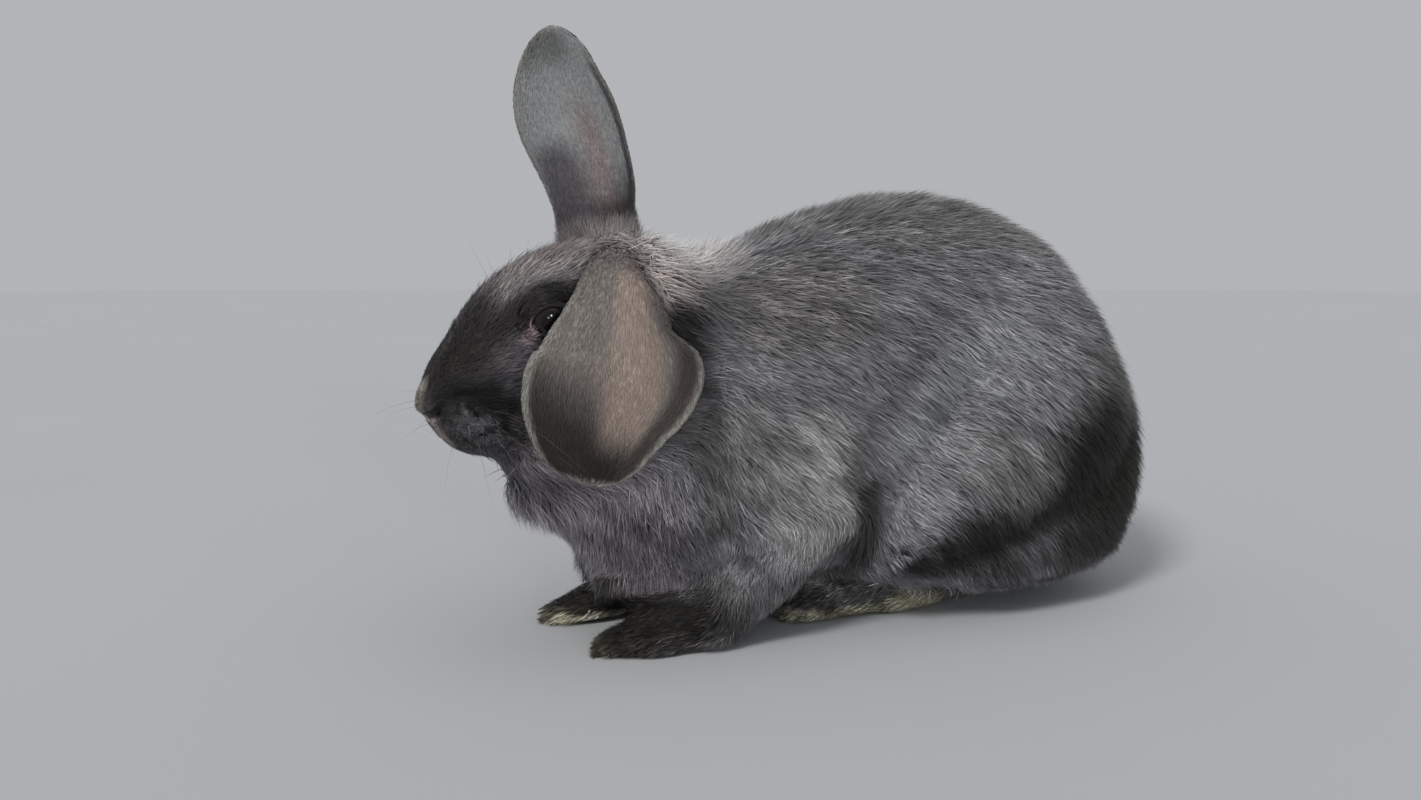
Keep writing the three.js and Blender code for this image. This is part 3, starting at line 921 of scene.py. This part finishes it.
def raised_back(along, across, points):
    """The back of the raised ear: dark at its foot and light above, with a faint pinkish band and a dark rear flap,
    whose darkness is painted shade where it turns away from the light.
    """
    colour = tinted((0.050, 0.037, 0.038), (0.256, 0.264, 0.268), ramp(along, 0.36, 0.62))
    colour = colour * mix(1.0, 0.80, ramp(along, 0.68, 0.85))[:, None]
    band = np.exp(-(((across + 0.2) / 0.25) ** 2)) * ramp(along, 0.30, 0.56) * (1 - ramp(along, 0.66, 0.86))
    colour = tinted(colour, (0.215, 0.163, 0.155), band * 0.75)
    colour = colour * mix(0.72, 1.0, ramp(along, 0.26, 0.44))[:, None]
    colour = tinted(colour, (0.070, 0.062, 0.072), 0.88 * near(points, [(-10, 22, 160), (-14, 24, 182)], 6, 17))
    tip = ramp(along, 0.84, 0.93) * (1 - ramp(-across, 0.0, 0.7))
    colour = tinted(colour, (0.080, 0.082, 0.078), 0.8 * tip)
    # painted shade on the rear flap, which turns away from the light
    edge = mix(0.52, 0.76, ramp(along, 0.20, 0.60))
    flap = ramp(-across - edge, 0, 0.07) * ramp(along, 0.10, 0.20) * (1 - ramp(along, 0.84, 0.93))
    return tinted(colour, (0.048, 0.044, 0.046), 0.9 * flap)


def ear_marking(side, along, turn, points):
    across, up = np.sin(turn), np.cos(turn)
    colour = (lopped_back if side == LEFT else raised_back)(along, across, points)
    rim = 1 - (1 - ramp(np.abs(across), 0.86, 1.0)) * (1 - ramp(along, 0.972, 0.992))
    colour = tinted(colour, (0.27, 0.26, 0.235), rim)
    cup = tinted((0.21, 0.145, 0.135), (0.13, 0.115, 0.11), ramp(np.abs(across), 0.3, 0.8))
    colour = mix(colour, cup, ramp(-up, 0.1, 0.45)[:, None])
    own = ramp(along, 0.20, 0.40) if side == LEFT else mix(0.62, 1.0, ramp(along, 0.24, 0.40))
    return mix(markings(points), colour, own[:, None])


def at_eye(points, side, reach):
    """How far each point lies from the middle of an eye's opening, which ends at 1, and which points are beside it."""
    centre, axis, across, upright = eye_frame(side)
    ray = unit(points - centre)
    e = np.hypot((ray @ across) * EYE_RADIUS / LID_OPENING[0], (ray @ upright) * EYE_RADIUS / LID_OPENING[1])
    beside = (np.linalg.norm(points - centre, axis=1) < EYE_RADIUS + reach) & (ray @ axis > 0)
    return e, beside


def skin_marking():
    colour = markings(body)
    for side in (LEFT, RIGHT):
        e, beside = at_eye(body, side, 3)
        colour = tinted(colour, (0.026, 0.020, 0.020), beside * (1 - ramp(e, 1.25, 1.5)))
        colour = tinted(colour, (0.012, 0.010, 0.010), beside * (1 - ramp(e, 1.04, 1.14)))
    return np.vstack([colour] + [ear_marking(s, ears[s][3], ears[s][4], ears[s][1]) for s in (LEFT, RIGHT)])


def skin_grain():
    """Places in which the grain is drawn out along the hair: away from the nose, and along each ear."""
    parts = [from_nose(body) * 70]
    for side in (LEFT, RIGHT):
        along, turn = ears[side][3:]
        parts.append(np.column_stack([np.sin(turn) * 34, np.cos(turn) * 8 + 40 * side, along * 18]))
    return np.vstack(parts)


def unwrapped(obj):
    """Lays the object's faces out flat as OFBake, and returns the corners of each, as (face, corner, uv)."""
    obj.data.uv_layers.new(name="OFBake")
    bpy.context.view_layer.objects.active = obj
    obj.select_set(True)
    bpy.ops.object.mode_set(mode="EDIT")
    bpy.ops.mesh.select_all(action="SELECT")
    bpy.ops.uv.smart_project(angle_limit=1.15, island_margin=0.002, margin_method="FRACTION")
    bpy.ops.object.mode_set(mode="OBJECT")
    obj.select_set(False)
    uv = np.empty(len(obj.data.loops) * 2, np.float32)
    obj.data.uv_layers["OFBake"].data.foreach_get("uv", uv)
    return uv.reshape(-1, 3, 2)


outer, body_faces = outer_form()
body_depth = coat_depth(outer, body_faces)
body = featured(shrunk(outer, body_faces, body_depth), body_faces)
ears = {side: ear_grid(side) for side in (LEFT, RIGHT)}
skin_points, skin_faces = joined([(body, body_faces)] + [(ears[s][1], ears[s][2]) for s in (LEFT, RIGHT)])
skin = piece("skin", skin_points, skin_faces, skin_material())
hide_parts(*[n for n in FLESH if not n.startswith("eye")], "ear_left", "ear_right")
paint(skin, "marking", skin_marking())
paint(skin, "grain", skin_grain())
skin_uv = unwrapped(skin)


# ---- eyes, lid margins, claws and whiskers ----
def tube(path, radii, sides=8):
    """A closed tube along a path; a radius near 0 closes an end to a point."""
    path = np.asarray(path, float)
    tangent = unit(np.gradient(path, axis=0))
    across = unit(np.cross(tangent, (0.13, 0.21, 0.97)))
    other = np.cross(tangent, across)
    turn = np.linspace(0, 2 * np.pi, sides, endpoint=False)
    ring = across[:, None] * np.cos(turn)[None, :, None] + other[:, None] * np.sin(turn)[None, :, None]
    points = (path[:, None] + ring * np.asarray(radii)[:, None, None]).reshape(-1, 3)
    first_cap, last_cap = fan(sides), fan(sides)[:, ::-1] + (len(path) - 1) * sides
    return points, np.concatenate([grid_faces(len(path), sides), first_cap, last_cap])[:, ::-1]


PUPIL_TINT = (0.004, 0.003, 0.003)
IRIS_TINT = (0.013, 0.009, 0.010)
IRIS_EDGE_TINT = (0.009, 0.006, 0.007)
EYE_WHITE_TINT = (0.22, 0.17, 0.16)
LID_TINT = (0.007, 0.006, 0.006)
LID_CORNER_TINT = (0.40, 0.30, 0.29)
LID_CORNER = math.radians(10)  # where the front corner of the eye lies on the margin
LID_EDGE = 0.42  # the radius of the margin's rounded edge


def eyeball(side, rings=56, sides=72):
    """The eyeball with its cornea, as (points, faces, colour, grain)."""
    centre, axis, across, upright = eye_frame(side)
    from_axis = np.linspace(0.001, np.pi - 0.001, rings)
    round_axis = np.linspace(0, 2 * np.pi, sides, endpoint=False)
    t, f = (g.ravel() for g in np.meshgrid(from_axis, round_axis, indexing="ij"))
    radius = EYE_RADIUS + 0.4 * (1 - ramp(t, 0.35, 0.8))
    direction = (
        axis * np.cos(t)[:, None]
        + across * (np.sin(t) * np.cos(f))[:, None]
        + upright * (np.sin(t) * np.sin(f))[:, None]
    )
    points = centre + direction * radius[:, None]
    faces = facing_out(points, grid_faces(rings, sides), centre)
    arc = t * EYE_RADIUS
    colour = tinted(PUPIL_TINT, IRIS_TINT, ramp(arc, 3.4, 3.8))
    colour = tinted(colour, IRIS_EDGE_TINT, ramp(arc, 5.0, 5.9))
    colour = tinted(colour, EYE_WHITE_TINT, ramp(arc, 6.8, 7.4))
    grain = np.column_stack([np.cos(f) * 14, np.sin(f) * 14, arc * 0.35])
    return points, faces, colour, grain


def lid_margin(side, steps=72, sides=8):
    """A thin rounded edge round the opening of the lids, as (points, faces, colour)."""
    centre, axis, across, upright = eye_frame(side)
    turn = np.linspace(0, 2 * np.pi, steps, endpoint=False)
    s, t = LID_OPENING[0] * 1.03 * np.cos(turn), LID_OPENING[1] * 1.03 * np.sin(turn)
    s = s + drawn_out(s)
    arc = np.hypot(s, t)
    angle = arc / EYE_RADIUS
    away = across * (s / arc)[:, None] + upright * (t / arc)[:, None]
    outward = away * np.sin(angle)[:, None] + axis * np.cos(angle)[:, None]
    ring = centre + outward * (EYE_RADIUS + 0.62)
    sideways = unit(np.cross(np.roll(ring, -1, 0) - np.roll(ring, 1, 0), outward))
    around = np.linspace(0, 2 * np.pi, sides, endpoint=False)[None, :, None]
    section = outward[:, None] * np.cos(around) + sideways[:, None] * np.sin(around)
    points = (ring[:, None] + LID_EDGE * section).reshape(-1, 3)
    faces = grid_faces(steps, sides, looped=True)
    faces = facing_out(points, faces, np.repeat(ring, sides, 0)[faces[:, 0]])
    from_corner = (turn - LID_CORNER + np.pi) % (2 * np.pi) - np.pi
    corner = np.repeat(np.exp(-((from_corner / 0.42) ** 2)), sides)
    return points, faces, tinted(LID_TINT, LID_CORNER_TINT, corner)


def make_eyes():
    look = eye_material()
    for side, word in SIDES:
        points, faces, colour, grain = eyeball(side)
        eye = piece(f"eyeball_{word}", points, faces, look)
        paint(eye, "marking", colour)
        paint(eye, "grain", grain)
        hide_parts(f"eye_{word}")
        points, faces, colour = lid_margin(side)
        margin = piece(f"lid_margin_{word}", points, faces, skin.data.materials[0])
        paint(margin, "marking", colour)
        paint(margin, "grain", points * 1.5)


CLAW_TINT = (0.045, 0.036, 0.030)
CLAW_LENGTH = 12
CLAW_RADIUS = 0.95
TOES = (-0.62, -0.2, 0.2, 0.62)  # as shares of the spread of a foot's toes
# For each pair of feet: the name, the middle of the claws' roots (x, y), their height, their spread, their fan.
FEET = (("fore", (-7, 19.0), 4, 10.5, 14), ("hind", (75, 19), 4, 11.5, 12))
SPLAYED = math.radians(16)  # how far the toes of the right forefoot are turned outwards


def claw(root, heading):
    """A claw from its root, curving down to just above the floor at its tip."""
    along = (1 - np.cos(np.linspace(0, np.pi, 14))) / 2
    drop = root[2] - 1.4
    path = root + heading * (along * CLAW_LENGTH)[:, None] - np.outer(along**2 * drop, (0, 0, 1))
    taper = np.sqrt(np.maximum(0.0, 1 - along**1.6)) * np.minimum(1, 0.4 + along * 6)
    return tube(path, CLAW_RADIUS * taper, 12)


def make_claws():
    look = claw_material()
    for foot, middle, height, spread, fan in FEET:
        for side, word in SIDES:
            moved = foot == "fore" and side == RIGHT
            made = []
            for toe in TOES:
                turn = math.radians(toe * fan) * side + (SPLAYED if moved else 0)
                root = np.array([middle[0] + abs(toe) * 5, side * (middle[1] + toe * spread), height])
                root = root + (PAW_STEP if moved else 0)
                made.append(claw(root, np.array([-math.cos(turn), math.sin(turn), 0])))
            points, faces = joined(made)
            claws = piece(f"claws_{foot}_{word}", points, faces, look)
            paint(claws, "marking", CLAW_TINT)
            paint(claws, "grain", points * (0.15, 1.2, 1.2))


WHISKER_TINT = (0.10, 0.097, 0.094)


def whisker(root, heading, length, radius):
    """A whisker that tapers to its tip and droops a little."""
    along = np.linspace(0, 1, 14)
    path = root + heading * (along * length)[:, None] + np.outer(along**2 * length, (0.10, 0, -0.22))
    return tube(path, radius * (1 - along * 0.92), 5)


def make_whiskers():
    """Three rows of four on each side of the muzzle, and three over each eye."""
    look = whisker_material()
    for side, word in SIDES:
        made = []
        for row, height in enumerate((97, 93, 89)):
            for column in range(4):
                root = np.array([-65 + column * 5.2 + row * 0.8, 11 + column * 2.4, height - column * 1.2])
                heading = np.array([-0.55 + column * 0.22, 0.95, 0.12 - row * 0.16])
                heading = unit(heading + RNG.normal(0, 0.09, 3))
                length = RNG.uniform(34, 50) + column * 3
                made.append(whisker(mirrored(root, side), mirrored(heading, side), length, 0.075))
        for column in range(3):
            root = np.array([-44 + column * 3.5, 17.0, 141 - column * 0.3])
            heading = unit(np.array([-0.35 + column * 0.25, 0.5, 0.8]) + RNG.normal(0, 0.08, 3))
            made.append(whisker(mirrored(root, side), mirrored(heading, side), RNG.uniform(20, 30), 0.06))
        points, faces = joined(made)
        whiskers = piece(f"whiskers_{word}", points, faces, look)
        paint(whiskers, "marking", WHISKER_TINT)


make_eyes()
make_claws()
make_whiskers()


# ---- the coat: overlapping tufts rooted in the skin ----
def gradient(points, size, shift, reach=0.25):
    """Which way a smooth noise rises, over that share of its cells, for tufts that gather into locks."""
    base = noise(points, size, shift)
    rises = [noise(points + axis * size * reach, size, shift) - base for axis in np.eye(3)]
    return np.stack(rises, 1) / reach


TUFT_REACH = 5  # a step that ends further than this from the surface isn't drawn onto it


class Ground:
    """A surface that tufts are rooted in, with its marking as a function of the tips."""

    def __init__(self, points, faces, depth, marking, uv):
        self.points, self.faces, self.depth, self.marking, self.uv = points, faces, depth, marking, uv
        self.normal = normals(points, faces)
        self.tree = BVHTree.FromPolygons(points.tolist(), faces.tolist())

    def sow(self, density):
        """Sows roots at random, with that many per square millimetre, and returns how many."""
        area = np.linalg.norm(face_normals(self.points, self.faces), axis=1) / 2
        wanted = area * density[self.faces].mean(axis=1)
        count = int(wanted.sum())
        total = np.cumsum(wanted)
        face = np.searchsorted(total, RNG.random(count) * total[-1])
        a, b = np.sort(RNG.random((2, count)), axis=0)
        self.face, self.share = np.minimum(face, len(self.faces) - 1), np.stack([a, b - a, 1 - b], 1)
        return count

    def at(self, values):
        """Values of the surface's points, at the roots."""
        share = self.share.reshape(len(self.share), 3, *[1] * (values.ndim - 1))
        return (values[self.faces[self.face]] * share).sum(1)

    def uv_at(self):
        return (self.uv[self.face] * self.share[:, :, None]).sum(1)

    def step(self, points, normal, direction, length, bend):
        """One step along the surface, or straight ahead where bend is 0."""
        ahead = points + direction * length[:, None]
        place, across = ahead.copy(), normal.copy()
        for i, p in enumerate(ahead.tolist()):
            hit, flat, _, distance = self.tree.find_nearest(p)
            if distance < TUFT_REACH:
                place[i], across[i] = hit, flat
        across = unit(mix(normal, across, 0.6 * bend[:, None]))
        return mix(ahead, place, bend[:, None]), across, unit(in_plane(direction, across))


def streaks(points, size, shift):
    """Noise drawn out along the side of the body, down towards the tail."""
    x, y, z = points.T
    return noise(np.column_stack([(x * 0.8 - z * 0.6) / 2.6, y, x * 0.6 + z * 0.8]), size, shift)


TUFT_FACES = np.array([(0, 2, 1), (1, 2, 3), (2, 4, 3)])
UV_PATCH = (np.array([(0, 0), (1, 0), (0, 0.5), (1, 0.5), (0.5, 1)]) - 0.5) * 0.003
TUFT_FILL = 0.6  # how much of its length times its breadth a tuft covers
LOWEST = 0.15  # no tuft reaches nearer to the floor
SILVERED = 0.12  # the share of tufts with silver tips
DARK_ABOVE = 0.82  # the tufts past this share are dark


def tones(tip, variety):
    """How light each tuft is at its five points, from the root to the tip. Variety 0 makes them all alike."""
    count = len(tip)
    ruffled = 1 - ramp(tip[:, 2], 60, 120) * ramp(tip[:, 0], 0, 20)
    locks = (0.30 + 0.10 * ruffled) * streaks(tip, 6, 21) + (0.26 + 0.10 * ruffled) * streaks(tip, 2.6, 31)
    tone = np.exp(RNG.normal(0, 0.34, count) * variety) * np.maximum(0.3, 1 + locks * variety)
    chance = RNG.random(count)
    full = np.minimum(variety, 1)
    silver = np.where(chance < SILVERED, 1 + 0.6 * variety, 1.0)
    tone = tone * np.where(chance > DARK_ABOVE, 1 - 0.42 * full, 1.0)
    # Roots darker than tips: painted shade deep among the tufts.
    root, middle, end = (tone * mix(plain, varied, full) for plain, varied in ((0.8, 0.26), (0.95, 0.74), (1.05, 1.3)))
    return np.stack([root, root, middle, middle, end * silver], 1)


def tufts(ground, direction, length, width, rise, variety, bend):
    """The points, normals, colours and UVs of a tuft at each root: 5 points and 3 faces each."""
    count = len(length)
    root, normal, depth = ground.at(ground.points), unit(ground.at(ground.normal)), ground.at(ground.depth)
    middle, middle_normal, onward = ground.step(root, normal, direction, length * 0.45, bend)
    tip, tip_normal, _ = ground.step(middle, middle_normal, onward, length * 0.55, bend)
    tip_depth = depth * rise * mix(0.75, 1.0, bend)
    tip = tip + tip_normal * tip_depth[:, None]
    middle = middle + middle_normal * (tip_depth * RNG.uniform(0.5, 0.75, count))[:, None]
    root = root - normal * np.minimum(0.5, depth * 0.3)[:, None]
    pull = gradient(tip, 11, 3) * 0.4 + gradient(tip, 4.5, 9) * 0.35 + gradient(tip, 2.2, 13) * 0.15
    pull = in_plane(pull * np.minimum(variety, 1)[:, None], tip_normal, 0.8)
    tip = tip + pull * (length * 0.09)[:, None]
    middle = middle + pull * (length * 0.03)[:, None]
    twist = RNG.normal(0, 0.4, count)
    rows, row_normals = [], []
    for place, across, way, size in ((root, normal, direction, 0.85), (middle, middle_normal, onward, 1.0)):
        sideways = unit(np.cross(across, way))
        sideways = sideways * np.cos(twist)[:, None] + across * np.sin(twist)[:, None]
        half = sideways * (width * size / 2)[:, None]
        rows += [place - half, place + half]
        row_normals += [unit(across - sideways * 0.55), unit(across + sideways * 0.55)]
    rows.append(tip)
    row_normals.append(tip_normal)
    points = np.stack(rows, 1)
    points[:, :, 2] = np.maximum(points[:, :, 2], LOWEST)
    colours = ground.marking(tip)[:, None, :] * tones(tip, variety)[:, :, None]
    return points, np.stack(row_normals, 1), colours, ground.uv_at()[:, None, :] + UV_PATCH


COAT_LOOK = coat_material()


def coat_piece(name, made):
    """One piece of coat from (points, normals, colours, uvs)."""
    points, smooth, colours, uvs = made
    count = len(points)
    faces = (TUFT_FACES[None] + (np.arange(count) * 5)[:, None, None]).reshape(-1, 3)
    coat = piece(name, points.reshape(-1, 3), faces, COAT_LOOK)
    paint(coat, "marking", colours.reshape(-1, 3))
    layer = coat.data.uv_layers.new(name="OFBake")
    layer.data.foreach_set("uv", uvs.reshape(-1, 2)[faces.ravel()].astype(np.float32).ravel())
    coat.data.normals_split_custom_set_from_vertices(smooth.reshape(-1, 3).tolist())
    return coat


NOSE_END = [(-75.5, 0, 94.5), (-74, 0, 91)]
NAPE = [(-4, 18, 154), (10, 28, 148), (14, 40, 132), (30, 12, 150)]
THROAT = [(-42, 3, 74), (-37, 18, 72)]
COAT_PARTS = ("head", "shoulder", "side", "haunch", "rump")
PART_ENDS = (62, 122, 182)  # where along the body the shoulder, the side and the haunch end
COAT_NAMES = [f"coat_{part}_{side}" for part in COAT_PARTS for side in ("left", "right")] + ["coat_feet"]


def hairy():
    """0 where no tuft grows, at the eyes, the nose and the creases of the muzzle, and 1 elsewhere."""
    bare = np.maximum(near(body, NOSE_END, 1.6, 3.2), near_both(body, NOSTRIL, 1.2, 2.6))
    for line, _, _ in CREASES:
        bare = np.maximum(bare, 0.9 * near_both(body, line, 0.5, 2.1))
    gap = np.ones(len(body))
    for side in (LEFT, RIGHT):
        e, beside = at_eye(body, side, 5)
        gap = np.where(beside, gap * ramp(e, 1.1, 1.45), gap)
    return gap * (1 - bare)


def coat_index(root, where):
    """Which of the coat's pieces each root belongs to."""
    on_head = where["head"] > 0.5
    on_feet = (where["paw"] > 0.5) | (where["foot"] > 0.5)
    part = np.where(on_head, 0, 1 + np.searchsorted(PART_ENDS, root[:, 0], side="right"))
    return np.where(on_feet & ~on_head, len(COAT_NAMES) - 1, 2 * part + (root[:, 1] > 0))


def body_coat():
    ground = Ground(body, body_faces, body_depth, markings, skin_uv[: len(body_faces)])
    where = regions(body)
    feet = np.maximum(where["paw"], where["foot"])
    lips = near_both(body, WHISKER_PAD, 6, 13)
    scruff = near_both(body, NAPE, 10, 24)
    length = 1.6 + 0.98 * body_depth + 1.2 * feet + 1.5 * where["head"] * ramp(body_depth, 1, 3)
    width = 0.16 + 0.022 * length
    length = length * (1 - 0.3 * lips)
    cover = mix(9.0, 4.8, where["head"])
    cover = mix(cover, 3.0, (1 - ramp(body[:, 2], 10, 30)) * (1 - feet))
    cover = mix(cover, mix(2.2, 0.4, ramp(-ground.normal[:, 2], 0.3, 0.8)), feet)
    cover = mix(cover, 10.0, scruff)
    count = ground.sow(cover * hairy() / (TUFT_FILL * length * width))
    root, normal, feet, lips, scruff = (ground.at(v) for v in (body, ground.normal, feet, lips, scruff))
    normal = unit(normal)
    size = ground.at(length) * RNG.uniform(0.75, 1.25, count)
    breadth = ground.at(width) * RNG.uniform(0.75, 1.3, count)
    where = regions(root)
    bent = 0.15 * noise(root, 16, 41) + RNG.normal(0, 1, count) * (0.17 + 0.6 * lips)
    way = turned(lie(root, normal), normal, bent)
    rise = RNG.uniform(0.60, 1.02, count) * (1 + 0.12 * streaks(root, 6, 21))
    guard = mix(mix(1.12, 1.35, where["head"]), 1.7, scruff)
    rise = rise * np.where(RNG.random(count) < mix(0.08, 0.20, scruff), guard, 1.0)
    throat = near_both(root, THROAT, 5, 18)
    rise, size = rise * (1 + 0.8 * throat), size + 3.5 * throat
    variety = mix(1.0, 0.72, where["head"])
    for value, part in ((0.42, scruff), (1.5, lips), (2.0, feet)):
        variety = mix(variety, value, part)
    made = tufts(ground, way, size, breadth, rise, variety, 1 - 0.8 * feet)
    index = coat_index(root, where)
    for i, name in enumerate(COAT_NAMES):
        coat_piece(name, [array[index == i] for array in made])


EAR_TUFT = (3.0, 0.33)  # the length and breadth of a tuft that the cover of an ear is worked out with


def ear_coat(side, word):
    _, points, faces, along, turn = ears[side]
    first = len(body_faces) + (0 if side == LEFT else len(ears[LEFT][2]))
    root_share = 1 - ramp(along, *EAR_FLUFF[side])
    marking = ear_marking(side, along, turn, points)
    uv = skin_uv[first : first + len(faces)]
    ground = Ground(points, faces, 0.7 + 5.0 * root_share, lambda tip: ground.at(marking), uv)
    ahead = pinna(side, np.minimum(along + 0.01, 1), turn, EAR_SKIN, EAR_HAIR)
    behind = pinna(side, np.maximum(along - 0.01, 0), turn, EAR_SKIN, EAR_HAIR)
    rim = ramp(np.abs(np.sin(turn)), 0.9, 0.99)
    cover = (1.1 + rim * 2.0 + root_share) * mix(1, 0.35, ramp(-np.cos(turn), 0.1, 0.5))
    count = ground.sow(cover / (TUFT_FILL * EAR_TUFT[0] * EAR_TUFT[1]))
    fluff, normal = ground.at(root_share), unit(ground.at(ground.normal))
    outward = unit(ground.at(points - pinna(side, along, np.zeros(len(along)), 0)))
    way = unit(ground.at(ahead - behind)) + outward * (ground.at(rim) * 0.5)[:, None]
    way = turned(unit(in_plane(way, normal)), normal, RNG.normal(0, 0.14, count))
    size = mix(2.8, 11.0, fluff) * RNG.uniform(0.8, 1.2, count)
    breadth = 0.25 * RNG.uniform(0.8, 1.25, count) * mix(1, 1.7, fluff)
    rise = RNG.uniform(0.6, 1.05, count)
    made = tufts(ground, way, size, breadth, rise, mix(0.16, 0.42, fluff), np.ones(count))
    coat_piece(f"coat_ear_{word}", made)


body_coat()
for side, word in SIDES:
    ear_coat(side, word)


# ---- stage, lights and camera ----
FLOOR_RADIUS = 9000
FLOOR_TINT = (0.3905, 0.400, 0.414)
DAYLIGHT = (0.97, 0.985, 1.0)
# Each light is (name, where it comes from, strength, softness in degrees, colour).
SUNS = [
    ("key", (-0.80, -0.42, 0.78), 2.2, 13, (1.0, 0.985, 0.965)),
    ("top", (0.0, -0.3, 1.0), 0.4, 60, (1, 1, 1)),
    ("fill", (-0.25, -1.0, 0.25), 0.12, 120, DAYLIGHT),
    ("window", (-0.08, -0.97, 0.17), 0.58, 7.5, DAYLIGHT),
    ("side window", (-0.30, -0.94, 0.0), 0.28, 6, DAYLIGHT),
]
SKY = (0.80, 0.82, 0.85, 1)
SKY_STRENGTH = 0.56
CAMERA_PLACE = (-161.3, -384.3, 144)
CAMERA_HEADING = (0.469, 0.883)
CAMERA_PITCH = math.radians(-6.84)
CAMERA_LENS = 27.03


def stage_floor(corners=96):
    """A round floor under the rabbit."""
    turn = np.linspace(0, 2 * np.pi, corners, endpoint=False)
    rim = np.column_stack([np.cos(turn), np.sin(turn), np.zeros(corners)]) * FLOOR_RADIUS
    points = np.vstack([(0, 0, 0), rim]) + (100, 0, 0)
    faces = np.array([(0, 1 + i, 1 + (i + 1) % corners) for i in range(corners)])
    floor = bpy.data.objects.new("floor", to_mesh("floor", metres(points), faces))
    bpy.context.scene.collection.objects.link(floor)
    floor.data.materials.append(floor_material())
    paint(floor, "marking", FLOOR_TINT)


def studio_light():
    """Suns, each a soft light from one direction, and a pale sky."""
    for name, way, strength, softness, colour in SUNS:
        data = bpy.data.lights.new(name, "SUN")
        data.energy, data.angle, data.color = strength, math.radians(softness), colour
        sun = bpy.data.objects.new(name, data)
        bpy.context.scene.collection.objects.link(sun)
        sun.rotation_euler = Vector(way).to_track_quat("Z", "Y").to_euler()
    world = bpy.data.worlds.new("studio")
    world.use_nodes = True
    world.node_tree.nodes["Background"].inputs["Color"].default_value = SKY
    world.node_tree.nodes["Background"].inputs["Strength"].default_value = SKY_STRENGTH
    bpy.context.scene.world = world
    bpy.context.scene.view_settings.view_transform = "Standard"


def set_camera():
    data = bpy.data.cameras.new("camera")
    data.sensor_width = 36
    data.lens = CAMERA_LENS
    data.clip_start = 0.01
    camera = bpy.data.objects.new("camera", data)
    bpy.context.scene.collection.objects.link(camera)
    camera.location = metres(CAMERA_PLACE)
    level = math.cos(CAMERA_PITCH)
    look = (CAMERA_HEADING[0] * level, CAMERA_HEADING[1] * level, math.sin(CAMERA_PITCH))
    camera.rotation_euler = Vector(look).to_track_quat("-Z", "Y").to_euler()
    bpy.context.scene.camera = camera


stage_floor()
studio_light()
set_camera()
